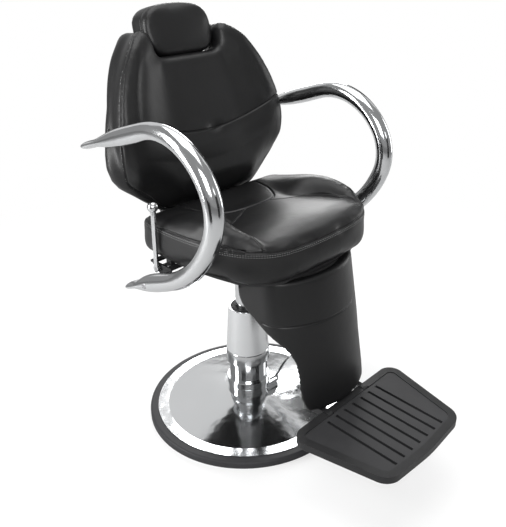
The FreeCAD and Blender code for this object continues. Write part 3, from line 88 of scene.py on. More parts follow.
class ChairCoverSettings(PropertyGroup):
    """Vinyl covers, seams and thread."""

    vinyl_colour: FloatVectorProperty(
        name="Vinyl", description="Colour of the vinyl cover", subtype="COLOR", size=3,
        default=(0.0050, 0.0050, 0.0054), min=0.0, max=1.0)
    vinyl_sheen: FloatProperty(
        name="Vinyl roughness", description="Lower is glossier", default=0.40, min=0.0, max=1.0)
    thread_colour: FloatVectorProperty(
        name="Thread", description="Colour of the seam thread", subtype="COLOR", size=3,
        default=(0.30, 0.30, 0.30), min=0.0, max=1.0)
    pressure: FloatProperty(
        name="Fullness", description="Pressure that fills the cushions", default=2.6, min=0.0)
    swell: FloatProperty(
        name="Swell", description="Furthest that a cushion's surface may move", default=0.0055, min=0.0,
        unit="LENGTH")
    seam_depth: FloatProperty(
        name="Seam depth", description="Depth of the sewn creases", default=0.0032, min=0.0, unit="LENGTH")
    seam_width: FloatProperty(
        name="Seam width", description="Half width of the sewn creases", default=0.0024, min=0.001,
        unit="LENGTH")
    stitch_length: FloatProperty(
        name="Stitch", description="Length of one stitch", default=0.0040, min=0.001, unit="LENGTH")
    stitch_pitch: FloatProperty(
        name="Stitch pitch", description="Distance from one stitch to the next", default=0.0060, min=0.001,
        unit="LENGTH")


class ChairMetalSettings(PropertyGroup):
    """Chrome, the pump sleeve and black paint."""

    chrome_colour: FloatVectorProperty(
        name="Chrome", description="Tint of the chrome", subtype="COLOR", size=3,
        default=(0.70, 0.71, 0.72), min=0.0, max=1.0)
    sleeve_colour: FloatVectorProperty(
        name="Sleeve", description="Tint of the pump sleeve", subtype="COLOR", size=3,
        default=(0.76, 0.77, 0.78), min=0.0, max=1.0)
    paint_colour: FloatVectorProperty(
        name="Black paint", description="Colour of the painted steel", subtype="COLOR", size=3,
        default=(0.012, 0.012, 0.013), min=0.0, max=1.0)


class ChairMouldedSettings(PropertyGroup):
    """Rubber and plastic."""

    rubber_colour: FloatVectorProperty(
        name="Base ring", description="Colour of the rubber ring", subtype="COLOR", size=3,
        default=(0.035, 0.035, 0.038), min=0.0, max=1.0)
    footrest_colour: FloatVectorProperty(
        name="Footrest", description="Colour of the footrest frame", subtype="COLOR", size=3,
        default=(0.016, 0.016, 0.017), min=0.0, max=1.0)
    tread_colour: FloatVectorProperty(
        name="Tread", description="Colour of the ribbed tread", subtype="COLOR", size=3,
        default=(0.030, 0.030, 0.032), min=0.0, max=1.0)


# Shader building


class Maths:
    """A shader socket on which Python's operators add maths nodes."""

    def __init__(self, recipe, socket):
        self.recipe = recipe
        self.socket = socket

    def combine(self, operation, first, second):
        return self.recipe.add("ShaderNodeMath", {"operation": operation}, {0: first, 1: second})

    def __add__(self, other):
        return self.combine("ADD", self, other)

    __radd__ = __add__

    def __mul__(self, other):
        return self.combine("MULTIPLY", self, other)

    __rmul__ = __mul__


class Recipe:
    """A material whose nodes are added one at a time."""

    def __init__(self, name):
        self.material = bpy.data.materials.new(name)
        self.material.use_nodes = True
        self.tree = self.material.node_tree
        self.surface = self.tree.nodes["Principled BSDF"]

    def add(self, kind, settings=None, sockets=None, output=0):
        """Node with its settings and its inputs; returns one of its outputs."""
        node = self.tree.nodes.new(kind)
        for key, value in (settings or {}).items():
            setattr(node, key, value)
        for key, value in (sockets or {}).items():
            self.feed(node.inputs[key], value)
        return Maths(self, node.outputs[output])

    def feed(self, socket, value):
        """Links a node to a socket, or sets the socket's own value."""
        if isinstance(value, Maths):
            self.tree.links.new(value.socket, socket)
        elif hasattr(value, "__len__") and len(value) == 3 and len(socket.default_value) == 4:
            socket.default_value = (*value, 1)
        else:
            socket.default_value = value

    def place(self):
        return self.add("ShaderNodeTexCoord", output="Object")

    def noise(self, scale, detail=2.0, roughness=0.5, place=None):
        sockets = {"Vector": place or self.place(), "Scale": scale, "Detail": detail, "Roughness": roughness}
        return self.add("ShaderNodeTexNoise", None, sockets)

    def cells(self, scale, place=None):
        sockets = {"Vector": place or self.place(), "Scale": scale}
        return self.add("ShaderNodeTexVoronoi", None, sockets, "Distance")

    def blend(self, amount, first, second):
        return self.add("ShaderNodeMix", {"data_type": "RGBA"}, {0: amount, 6: first, 7: second}, 2)

    def bump(self, height, strength, distance, before=None):
        sockets = {"Height": height, "Strength": strength, "Distance": distance}
        if before is not None:
            sockets["Normal"] = before
        return self.add("ShaderNodeBump", None, sockets)

    def finish(self, **sockets):
        """Sets the surface's inputs, named in lower case, and returns the material."""
        for key, value in sockets.items():
            name = key.replace("_", " ").title().replace("Ior", "IOR")
            self.feed(self.surface.inputs[name], value)
        return self.material


def darker(colour, share):
    return tuple(channel * share for channel in colour)


def lighter(colour, amount):
    return tuple(min(1.0, channel + amount) for channel in colour)


def vinyl_material(settings):
    """Black vinyl with a fine pebbled grain and soft worn patches."""
    mix = Recipe("black_vinyl")
    place = mix.place()
    grain = mix.cells(620.0, place=place)
    fine = mix.noise(1400.0, 2.0, 0.6, place)
    patches = mix.noise(9.0, 3.0, 0.55, place)
    ripple = mix.noise(26.0, 2.0, 0.5, place)
    pebbles = mix.bump(grain * 0.7 + fine * 0.3, 0.16, 0.0005)
    soft = mix.bump(ripple, 0.10, 0.006, pebbles)
    colour = mix.blend(patches, darker(settings.vinyl_colour, 0.75), darker(settings.vinyl_colour, 1.35))
    rough = patches * 0.12 + fine * 0.04 + (settings.vinyl_sheen - 0.08)
    return mix.finish(base_color=colour, roughness=rough, normal=soft, specular_ior_level=0.42)


def thread_material(settings):
    """Twisted thread, a little lighter than the cover."""
    mix = Recipe("seam_thread")
    place = mix.place()
    twist = mix.add("ShaderNodeTexWave", {"bands_direction": "DIAGONAL"},
                    {"Vector": place, "Scale": 900.0, "Distortion": 1.0})
    colour = mix.blend(twist, darker(settings.thread_colour, 0.6), settings.thread_colour)
    return mix.finish(base_color=colour, roughness=0.7, normal=mix.bump(twist, 0.4, 0.0002))


def chrome_material(settings):
    """Polished chrome with faint smears and slow waves."""
    mix = Recipe("polished_chrome")
    smears = mix.noise(22.0, 4.0, 0.6)
    haze = mix.noise(5.0, 2.0)
    rough = smears * 0.09 + haze * 0.05 + 0.05
    colour = mix.blend(haze, darker(settings.chrome_colour, 0.93), settings.chrome_colour)
    waves = mix.noise(16.0, 2.0, 0.45)
    return mix.finish(base_color=colour, metallic=1.0, roughness=rough,
                      normal=mix.bump(waves, 0.35, 0.004))


def sleeve_material(settings):
    """Satin bright metal of the pump sleeve."""
    mix = Recipe("bright_sleeve")
    place = mix.place()
    lines = mix.add("ShaderNodeMapping", None, {"Vector": place, "Scale": (40.0, 40.0, 900.0)})
    turned = mix.noise(1.0, 2.0, 0.5, lines)
    rough = turned * 0.10 + 0.20
    return mix.finish(base_color=settings.sleeve_colour, metallic=0.9, roughness=rough,
                      normal=mix.bump(turned, 0.05, 0.0003))


def steel_material():
    """Plain machined steel."""
    mix = Recipe("machined_steel")
    marks = mix.noise(180.0, 3.0, 0.6)
    colour = mix.blend(marks, (0.36, 0.36, 0.37), (0.52, 0.52, 0.53))
    return mix.finish(base_color=colour, metallic=1.0, roughness=marks * 0.15 + 0.26)


def paint_material(settings):
    """Black powder coat with a fine orange peel."""
    mix = Recipe("black_powder_coat")
    peel = mix.noise(700.0, 2.0, 0.5)
    colour = mix.blend(peel, darker(settings.paint_colour, 0.8), darker(settings.paint_colour, 1.3))
    return mix.finish(base_color=colour, roughness=peel * 0.12 + 0.38,
                      normal=mix.bump(peel, 0.15, 0.0003))


def rubber_material(name, base, grain, rough):
    """Moulded rubber or plastic with a dusty grain."""
    mix = Recipe(name)
    place = mix.place()
    dust = mix.noise(14.0, 4.0, 0.6, place)
    pores = mix.noise(grain, 2.0, 0.6, place)
    colour = mix.blend(dust, darker(base, 0.6), lighter(base, 0.007))
    return mix.finish(base_color=colour, roughness=dust * 0.14 + pores * 0.06 + (rough - 0.1),
                      normal=mix.bump(pores, 0.25, 0.0004), specular_ior_level=0.32)


def backing_material():
    """Black woven backing cloth stretched over a plywood board."""
    mix = Recipe("black_backing_cloth")
    place = mix.place()
    weave = mix.add("ShaderNodeTexWave", None, {"Vector": place, "Scale": 260.0, "Distortion": 0.6})
    lint = mix.noise(60.0, 3.0, 0.6, place)
    colour = mix.blend(lint, (0.010, 0.010, 0.011), (0.022, 0.022, 0.023))
    return mix.finish(base_color=colour, roughness=0.85, normal=mix.bump(weave, 0.3, 0.0004))


def bronze_material():
    """Sintered bronze of the guide bush."""
    mix = Recipe("sintered_bronze")
    pores = mix.cells(500.0)
    colour = mix.blend(pores, (0.34, 0.20, 0.08), (0.52, 0.33, 0.14))
    return mix.finish(base_color=colour, metallic=1.0, roughness=pores * 0.2 + 0.3)


# Materials by name, filled by make_materials
MADE = {}


def make_materials():
    """Materials for the covers, the metals and the mouldings, by name."""
    covers = bpy.context.scene.chair_covers
    metals = bpy.context.scene.chair_metals
    mouldings = bpy.context.scene.chair_mouldings
    MADE.update({
        "vinyl": vinyl_material(covers),
        "thread": thread_material(covers),
        "chrome": chrome_material(metals),
        "sleeve": sleeve_material(metals),
        "steel": steel_material(),
        "paint": paint_material(metals),
        "rubber": rubber_material("base_rubber", mouldings.rubber_colour, 900.0, 0.55),
        "seal": rubber_material("seal_rubber", darker(mouldings.rubber_colour, 0.4), 900.0, 0.5),
        "nylon": rubber_material("white_nylon", (0.62, 0.62, 0.58), 900.0, 0.5),
        "footrest": rubber_material("footrest_plastic", mouldings.footrest_colour, 500.0, 0.42),
        "tread": rubber_material("tread_rubber", mouldings.tread_colour, 420.0, 0.55),
        "backing": backing_material(),
        "bronze": bronze_material(),
        "iron": paint_material(metals),
    })


# Finish of each frame node that keeps its own form
NODE_FINISH = {
    "rubber_ring": "rubber", "base_plate": "iron", "base_cover": "chrome", "pump_collar": "chrome",
    "collar_lip": "chrome", "pump_cylinder": "chrome", "pump_band": "chrome", "pump_sleeve": "sleeve",
    "guide_bush": "bronze", "wiper_seal": "seal", "pedal_bracket": "chrome", "pedal_pin": "steel",
    "pedal_lever": "chrome", "pedal_pad": "rubber", "pump_plunger": "steel", "piston_rod": "chrome",
    "piston_head": "steel", "swivel_washer": "nylon", "swivel_hub": "paint", "seat_plate": "paint",
    "seat_bolt_1": "steel", "seat_bolt_2": "steel", "seat_bolt_3": "steel", "seat_bolt_4": "steel",
    "seat_board": "backing", "arm_left": "chrome", "arm_right": "chrome", "arm_screw_left": "steel",
    "arm_screw_right": "steel", "arm_mount_left": "paint", "arm_mount_right": "paint",
    "release_bearing_1": "paint", "release_bearing_2": "paint", "release_rod": "steel",
    "release_lever": "chrome", "release_knob": "chrome", "recline_bracket_left": "paint",
    "recline_bracket_right": "paint", "recline_shaft": "steel", "backrest_board": "backing",
    "back_bar_left": "paint", "back_bar_right": "paint", "headrest_guide": "paint",
    "headrest_board": "backing", "headrest_post_left": "steel", "headrest_post_right": "steel",
    "leg_panel_board": "backing", "leg_frame": "paint", "footrest_bar": "steel", "footrest_tray": "footrest",
    "footrest_tread": "tread",
}


# Mesh helpers, lengths in metres

MERGE_DISTANCE = 0.00002
LINE_STEP = 0.002
CURVE_PARTS = 16
CREASE_REACH = 2.6
STITCH_HALF_WIDTH = 0.00055
STITCH_HALF_HEIGHT = 0.0005
STITCH_LIFT = 0.0001


def opened(mesh):
    """Editable copy of a mesh."""
    shape = bmesh.new()
    shape.from_mesh(mesh)
    return shape


def put_back(shape, mesh):
    """Writes an editable copy into a mesh and frees it."""
    shape.to_mesh(mesh)
    shape.free()
    return mesh


def new_piece(name, mesh, material, body):
    """Object at the origin that rides on a body and has one material."""
    piece = bpy.data.objects.new(name, mesh)
    bpy.context.scene.collection.objects.link(piece)
    piece.data.materials.clear()
    piece.data.materials.append(MADE[material])
    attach(piece, body)
    return piece


def merged_copy(node, name):
    """Copy of a frame node's mesh with its loose triangles joined."""
    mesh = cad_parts[node].data.copy()
    mesh.name = name
    shape = opened(mesh)
    bmesh.ops.remove_doubles(shape, verts=shape.verts, dist=MERGE_DISTANCE)
    return put_back(shape, mesh)


def places_of(piece):
    """Places of a piece's vertices, one row each."""
    places = numpy.empty(3 * len(piece.data.vertices))
    piece.data.vertices.foreach_get("co", places)
    return places.reshape(-1, 3)


def put_places(piece, places):
    """Moves a piece's vertices to the given places."""
    piece.data.vertices.foreach_set("co", places.ravel())
    piece.data.update()


def apply_modifiers(piece):
    """Bakes the piece's modifiers into its mesh."""
    graph = bpy.context.evaluated_depsgraph_get()
    mesh = bpy.data.meshes.new_from_object(piece.evaluated_get(graph))
    piece.modifiers.clear()
    piece.data = mesh


def remesh(piece, voxel):
    """Even grid of faces over the piece's surface."""
    modifier = piece.modifiers.new("Even faces", "REMESH")
    modifier.mode = "VOXEL"
    modifier.voxel_size = voxel
    apply_modifiers(piece)


def relax(piece, rounds):
    """Evens out a piece's surface."""
    shape = opened(piece.data)
    for _ in range(rounds):
        bmesh.ops.smooth_vert(shape, verts=shape.verts, factor=0.5, use_axis_x=True, use_axis_y=True,
                              use_axis_z=True)
    put_back(shape, piece.data)


def inflate(piece, amount):
    """Moves a piece's surface outwards."""
    shape = opened(piece.data)
    shape.normal_update()
    for vertex in shape.verts:
        vertex.co += vertex.normal * amount
    put_back(shape, piece.data)


def normals_of(piece):
    """Normals of a piece's vertices, one row each."""
    shape = opened(piece.data)
    shape.normal_update()
    normals = numpy.array([vertex.normal[:] for vertex in shape.verts])
    shape.free()
    return normals


def subdivide(piece):
    """One smooth subdivision, baked in."""
    modifier = piece.modifiers.new("Smooth", "SUBSURF")
    modifier.levels = 1
    modifier.render_levels = 1
    apply_modifiers(piece)


def smooth_step(value):
    """Eased step from 0 to 1 as the value goes from 0 to 1."""
    value = numpy.clip(value, 0, 1)
    return value * value * (3 - 2 * value)


def smooth_shading(piece):
    for face in piece.data.polygons:
        face.use_smooth = True


def curve_through(points):
    """Evenly spaced points along a smooth line through the given points."""
    points = [Vector(point) for point in points]
    ends = [2 * points[0] - points[1]] + points + [2 * points[-1] - points[-2]]
    dense = []
    for index in range(1, len(ends) - 2):
        before, start, end, after = ends[index - 1:index + 3]
        for part in range(CURVE_PARTS):
            t = part / CURVE_PARTS
            bend = (2 * before - 5 * start + 4 * end - after) * t ** 2
            twist = (3 * start - before - 3 * end + after) * t ** 3
            dense.append(0.5 * (2 * start + (end - before) * t + bend + twist))
    dense.append(points[-1])
    even = [dense[0]]
    carried = 0.0
    for start, end in zip(dense, dense[1:]):
        length = (end - start).length
        while carried + length >= LINE_STEP:
            start = start + (end - start) * ((LINE_STEP - carried) / length)
            length = (end - start).length
            carried = 0.0
            even.append(start.copy())
        carried += length
    return even


def mirrored(points):
    """The same points on the other side of the chair."""
    return [(-point[0], *point[1:]) for point in points]


def surface_of(piece):
    """Search tree of a piece's faces."""
    shape = opened(piece.data)
    tree = BVHTree.FromBMesh(shape)
    shape.free()
    return tree


def dropped(tree, points, start, direction):
    """Points of a line laid on a surface from one side, with the surface's normals."""
    laid = []
    for point in points:
        place, normal, _, _ = tree.ray_cast(start(point), direction)
        if place is not None:
            laid.append((place, normal))
    return laid


def nearest(tree, points):
    """Points of a line moved to the nearest place on a surface."""
    laid = []
    for point in points:
        place, normal, _, _ = tree.find_nearest(point)
        if place is not None:
            laid.append((place, normal))
    return laid


def crease(piece, lines, depth, width):
    """Sinks a sewn crease into the surface along the lines, on a finer grid of faces."""
    places = [place for line in lines for place, _ in line]
    tree = KDTree(len(places))
    for index, place in enumerate(places):
        tree.insert(place, index)
    tree.balance()
    reach = CREASE_REACH * width
    shape = opened(piece.data)
    near = {vertex for vertex in shape.verts if tree.find(vertex.co)[2] < reach + width}
    edges = [edge for edge in shape.edges if edge.verts[0] in near and edge.verts[1] in near]
    bmesh.ops.subdivide_edges(shape, edges=edges, cuts=1, use_grid_fill=True)
    shape.normal_update()
    sunk = []
    for vertex in shape.verts:
        distance = tree.find(vertex.co)[2]
        if distance < reach:
            sunk.append((vertex, vertex.normal * depth * math.exp(-(distance / width) ** 2)))
    for vertex, move in sunk:
        vertex.co -= move
    put_back(shape, piece.data)
    smooth_shading(piece)


def stitches(name, line, offset, body, covers):
    """Row of short raised stitches beside a line."""
    seed = bmesh.new()
    bmesh.ops.create_uvsphere(seed, u_segments=6, v_segments=4, radius=1)
    size = (covers.stitch_length / 2, STITCH_HALF_WIDTH, STITCH_HALF_HEIGHT)
    bmesh.ops.scale(seed, vec=size, verts=seed.verts)
    stitch = put_back(seed, bpy.data.meshes.new(name + "_one"))
    shape = bmesh.new()
    every = max(1, round(covers.stitch_pitch / LINE_STEP))
    for index in range(every, len(line) - every, every):
        place, normal = line[index]
        ahead = (line[index + 1][0] - line[index - 1][0]).normalized()
        aside = ahead.cross(normal).normalized()
        upright = aside.cross(ahead).normalized()
        turn = Matrix((ahead, aside, upright)).transposed().to_4x4()
        moved = stitch.copy()
        moved.transform(Matrix.Translation(place + aside * offset + upright * STITCH_LIFT) @ turn)
        shape.from_mesh(moved)
        bpy.data.meshes.remove(moved)
    mesh = put_back(shape, bpy.data.meshes.new(name))
    bpy.data.meshes.remove(stitch)
    piece = new_piece(name, mesh, "thread", body)
    smooth_shading(piece)
    return piece


# Places on the leaned backrest, in metres: across, behind its front plane, and up it

BACK_FOOT = Vector((0.0, 0.084, 0.6655))
BACK_LEAN = math.radians(18.0)
BACK_BEHIND = Vector((0.0, math.cos(BACK_LEAN), -math.sin(BACK_LEAN)))
BACK_UP = Vector((0.0, math.sin(BACK_LEAN), math.cos(BACK_LEAN)))


def on_back(across, behind, up):
    """Place in the frame of a place on the backrest."""
    return BACK_FOOT + Vector((across, 0, 0)) + BACK_BEHIND * behind + BACK_UP * up


def back_frame(places):
    """Places on the backrest as across, behind its plane, and up it."""
    offset = places - numpy.array(BACK_FOOT)
    return offset[:, 0], offset @ numpy.array(BACK_BEHIND), offset @ numpy.array(BACK_UP)


def facing_front(piece):
    """How much each vertex of a piece on the backrest faces forward, up to 1."""
    return -normals_of(piece) @ numpy.array(BACK_BEHIND)


# Seat outline and seams from above, in metres

SEAT_EDGE = [(0.0, -0.288), (0.131, -0.278), (0.184, -0.248), (0.2215, -0.179), (0.240, -0.085),
             (0.247, 0.006), (0.2425, 0.083), (0.235, 0.107), (0.216, 0.115)]
SEAT_EDGE_HEIGHT = 0.610
TONGUE_SEAM = [(0.130, 0.104), (0.128, 0.070), (0.115, 0.020), (0.085, -0.025), (0.050, -0.044),
               (0.0, -0.050)]
BOLSTER_SEAM = [(0.045, -0.052), (0.079, -0.071), (0.112, -0.086), (0.139, -0.103), (0.160, -0.145),
                (0.168, -0.200), (0.180, -0.250)]

# Seam across the backrest: across and up, in metres
BACK_SEAM = [(-0.262, 0.178), (-0.17, 0.150), (-0.09, 0.133), (0.0, 0.125), (0.09, 0.133), (0.17, 0.150),
             (0.262, 0.178)]
# Power and rise of the same seam's curve from its middle to its ends
SEAM_POWER = 1.6
SEAM_RISE = 0.053
# Seam across the leg panel, in the frame's metres
PANEL_SEAM = [(0.143, -0.211, 0.408), (0.135, -0.245, 0.408), (0.107, -0.283, 0.408), (0.055, -0.307, 0.408),
              (0.0, -0.3115, 0.408)]

# Height of the seat's middle and of its raised sides at places from front to rear, in metres

SEAT_MIDDLE = [(-0.288, 0.610), (-0.280, 0.6125), (-0.268, 0.6155), (-0.245, 0.6195), (-0.200, 0.6225),
               (-0.140, 0.6195), (-0.060, 0.6115), (0.0, 0.6095), (0.060, 0.610), (0.125, 0.614)]
SEAT_CREST = [(-0.288, 0.610), (-0.275, 0.614), (-0.250, 0.623), (-0.214, 0.638), (-0.187, 0.647),
              (-0.137, 0.655), (-0.095, 0.657), (-0.050, 0.651), (0.0, 0.636), (0.042, 0.622), (0.085, 0.611),
              (0.125, 0.610)]
# Shares of the half width: where the raised side starts, and how far from there to the rim its crest is
SEAT_RISE_START = [(-0.288, 0.97), (-0.250, 0.90), (-0.200, 0.77), (-0.145, 0.68), (-0.103, 0.57),
                   (-0.071, 0.43), (-0.050, 0.40), (0.020, 0.46), (0.125, 0.52)]
CREST_SHARE = 0.52
# Extra height of the middle of the seat's front part, and where it fades in and out
SEAT_CROWN = 0.006
SEAT_FRONT = -0.288
CROWN_FADE_IN = 0.08
CROWN_FADE_OUT = 0.05
# Least share of a normal that points up for a vertex to belong to the seat's top
SEAT_UPWARD = 0.05
# Where the seat's top is pulled to its table, and how its rear is moved back behind the backrest's foot
SEAT_TOP = {"start": 0.600, "depth": 0.010, "cover": 0.002}
SEAT_REAR = {"start": 0.085, "depth": 0.025, "move": 0.006}
# Least half width that shares of a half width are taken of
LEAST_HALF = 0.02

# Front seam of the backrest from its foot to the floor of its notch: across, behind and up, in metres
BACK_OUTLINE = [(0.0, 0.062, -0.039), (0.144, 0.061, -0.034), (0.200, 0.050, 0.006), (0.243, 0.042, 0.044),
                (0.260, 0.021, 0.072), (0.266, 0.004, 0.110), (0.258, -0.011, 0.184), (0.245, -0.016, 0.235),
                (0.223, -0.016, 0.288), (0.188, -0.013, 0.342), (0.161, -0.003, 0.372), (0.136, 0.017, 0.390),
                (0.116, 0.026, 0.384), (0.108, 0.034, 0.366), (0.107, 0.034, 0.350), (0.099, 0.034, 0.332),
                (0.081, 0.034, 0.325), (0.0, 0.034, 0.325)]

# How far the backrest's sides stand in front of its middle at heights up it, in metres
BACK_WING = [(-0.040, 0.0), (0.030, 0.0), (0.072, 0.008), (0.110, 0.017), (0.184, 0.026), (0.288, 0.028),
             (0.343, 0.026), (0.375, 0.014), (0.392, 0.008)]
# Points of the front seam up to the top of the ears, and the foot's height that the wings' slope leaves alone
SIDE_POINTS = 11
WING_FOOT = 0.020
WING_FADE = 0.05
# Shares of the half width where the wings start and where they crest, and where the pull on them ends
WING_START = 0.38
WING_CREST = 0.90
WING_END = 0.97
# Plane of the backrest's middle, and the furthest that its front may be moved forward and back
BACK_PLANE = 0.004
BACK_MOVES = (-0.020, 0.004)
# The backrest's foot: where it starts, how far back it goes, and its lowest place
FOOT_TOP = 0.090
FOOT_TUCK = 0.012
FOOT_LOWEST = -0.0520
# Rear edge and ears: from which depth and height they are filled out, over which length, and how far
REAR = {"start": 0.020, "depth": 0.040, "spread": 0.055}
EARS = {"start": 0.25, "height": 0.10, "inside": 0.100, "width": 0.02, "lift": 0.009}
# Swelling below the seam across the backrest, and the tuck at the middle of that seam
SWELLING = {"height": 0.075, "move": 0.005, "half": 0.29}
TUCK = {"across": 0.02, "up": 0.127, "squash": 0.6, "radius": 0.013, "move": 0.0065}

# The headrest: power of the curve of its seam, how far its corners are drawn in, how much of that its rear and
# its lower corners keep, and the place and half size of its seam
HEAD_ROUND = 4.0
HEAD_DRAW = 0.17
HEAD_REAR = {"draw": 0.45, "start": 0.062, "depth": 0.045}
HEAD_LOWER_LESS = 0.45
HEAD_SEAM = {"behind": 0.029, "middle": 0.3885, "across": 0.106, "up": 0.068}

# Size of the even faces, rounds of smoothing, and how far the covers stand off their solids
VOXELS = {"seat": 0.0056, "backrest": 0.0060, "headrest": 0.004, "leg_panel": 0.0024}
RELAX_START = 2
RELAX_SHAPED = 6
RELAX_PANEL = 14
RELAX_FILLED = 5
STAND_OFF = {"seat": 0.0022, "backrest": 0.0030, "headrest": 0.0028, "leg_panel": 0.0020}
# Distance of a row of stitches from its seam, and of the two rows below the seat's edge seam
STITCH_ASIDE = 0.0032
EDGE_ASIDE = 0.0035
SEAT_ROWS = (0.006, 0.011)
# Frames of the filling, and how much further the headrest may go
FILL_FRAMES = 12
HEAD_SWELL = 1.3


def seat_height(x, y):
    """Height of the seat's top at places seen from above."""
    across, along = zip(*SEAT_EDGE[::-1])
    order = numpy.argsort(along)
    half = numpy.interp(y, numpy.array(along)[order], numpy.array(across)[order])
    middle = numpy.interp(y, *zip(*SEAT_MIDDLE))
    crest = numpy.interp(y, *zip(*SEAT_CREST))
    start = numpy.interp(y, *zip(*SEAT_RISE_START))
    share = numpy.clip(numpy.abs(x) / numpy.maximum(half, LEAST_HALF), 0, 1)
    top = start + (1 - start) * CREST_SHARE
    crown = SEAT_CROWN * (1 - numpy.clip(share / start, 0, 1) ** 2)
    crown = crown * smooth_step((y - SEAT_FRONT) / CROWN_FADE_IN) * (y < 0.0) * smooth_step(-y / CROWN_FADE_OUT)
    inner = middle + crown
    inner = inner + (crest - inner) * smooth_step((share - start) / (top - start))
    fall = numpy.clip((share - top) / (1 - top), 0, 1)
    outer = SEAT_EDGE_HEIGHT + (crest - SEAT_EDGE_HEIGHT) * numpy.sqrt(1 - fall ** 2)
    return numpy.where(share > top, outer, inner)


def reach_foot(piece):
    """Lets the backrest's thin foot down to its full length again."""
    places = places_of(piece)
    _, _, up = back_frame(places)
    share = numpy.clip((FOOT_TOP - up) / (FOOT_TOP - up.min()), 0, 1)
    places = places + (share * (FOOT_LOWEST - up.min()))[:, None] * numpy.array(BACK_UP)
    put_places(piece, places + (share * FOOT_TUCK)[:, None] * numpy.array(BACK_BEHIND))


def fill_rear(piece):
    """Brings the backrest's rear edge and the backs of its ears out to their full size."""
    places = places_of(piece)
    across, behind, up = back_frame(places)
    share = smooth_step((behind - REAR["start"]) / REAR["depth"])
    ears = smooth_step((up - EARS["start"]) / EARS["height"])
    ears = ears * smooth_step((numpy.abs(across) - EARS["inside"]) / EARS["width"])
    places[:, 0] += across * share * REAR["spread"]
    put_places(piece, places + (share * EARS["lift"] * ears)[:, None] * numpy.array(BACK_UP))


# Padded covers by name, in the order in which they are made
PADDED = {}


def start_pad(node, name, voxel, body):
    """Cover that starts from a frame node's form."""
    piece = new_piece(name, merged_copy(node, name), "vinyl", body)
    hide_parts(node)
    remesh(piece, voxel)
    relax(piece, RELAX_START)
    PADDED[name] = piece
    return piece


class CHAIR_OT_seat(Operator):
    """Seat cushion with its raised sides"""

    bl_idname = "chair.seat"
    bl_label = "Seat cushion"

    def execute(self, context):
        piece = start_pad("seat_cushion", "seat_cover", VOXELS["seat"], "seat")
        places = places_of(piece)
        upward = normals_of(piece)[:, 2] > SEAT_UPWARD
        goal = seat_height(places[:, 0], places[:, 1]) - SEAT_TOP["cover"]
        pull = numpy.clip((places[:, 2] - SEAT_TOP["start"]) / SEAT_TOP["depth"], 0, 1) * upward
        places[:, 2] += (goal - places[:, 2]) * pull
        rear = smooth_step((places[:, 1] - SEAT_REAR["start"]) / SEAT_REAR["depth"])
        places[:, 1] += SEAT_REAR["move"] * rear
        put_places(piece, places)
        relax(piece, RELAX_SHAPED)
        inflate(piece, STAND_OFF["seat"])
        return {"FINISHED"}


class CHAIR_OT_backrest(Operator):
    """Backrest cushion with its notch"""

    bl_idname = "chair.backrest"
    bl_label = "Backrest cushion"

    def execute(self, context):
        piece = start_pad("backrest_cushion", "backrest_cover", VOXELS["backrest"], "backrest")
        places = places_of(piece)
        facing = facing_front(piece)
        across, behind, up = back_frame(places)
        seam = numpy.array(BACK_OUTLINE[:SIDE_POINTS])
        half = numpy.interp(up, seam[:, 2], seam[:, 0])
        share = numpy.abs(across) / numpy.maximum(half, LEAST_HALF)
        wing = numpy.interp(up, *zip(*BACK_WING))
        goal = BACK_PLANE - wing * smooth_step((share - WING_START) / (WING_CREST - WING_START))
        above_foot = numpy.clip((up - WING_FOOT) / WING_FADE, 0, 1)
        pull = numpy.clip(facing * 2, 0, 1) * (share < WING_END) * above_foot
        move = numpy.clip(goal - behind, *BACK_MOVES) * pull
        put_places(piece, places + move[:, None] * numpy.array(BACK_BEHIND))
        relax(piece, RELAX_SHAPED)
        inflate(piece, STAND_OFF["backrest"])
        return {"FINISHED"}


class CHAIR_OT_headrest(Operator):
    """Headrest pillow"""

    bl_idname = "chair.headrest"
    bl_label = "Headrest pillow"

    def execute(self, context):
        piece = start_pad("headrest_cushion", "headrest_cover", VOXELS["headrest"], "headrest")
        places = places_of(piece)
        across, behind, up = back_frame(places)
        middle = (up.min() + up.max()) / 2
        x = across / across.max()
        z = (up - middle) / (up.max() - middle)
        front = smooth_step((HEAD_REAR["start"] - behind) / HEAD_REAR["depth"])
        corner = (HEAD_REAR["draw"] + (1 - HEAD_REAR["draw"]) * front) * (1 - HEAD_LOWER_LESS * (z < 0))
        share = 1 - HEAD_DRAW * x ** 2 * z ** 2 * corner
        places[:, 0] = across * share
        places += ((up - middle) * (share - 1))[:, None] * numpy.array(BACK_UP)
        put_places(piece, places)
        relax(piece, RELAX_START)
        inflate(piece, STAND_OFF["headrest"])
        return {"FINISHED"}


class CHAIR_OT_leg_panel(Operator):
    """Padded panel in front of the legs"""

    bl_idname = "chair.leg_panel"
    bl_label = "Leg panel"

    def execute(self, context):
        piece = start_pad("leg_panel_pad", "leg_panel_cover", VOXELS["leg_panel"], "seat")
        relax(piece, RELAX_PANEL)
        inflate(piece, STAND_OFF["leg_panel"])
        return {"FINISHED"}


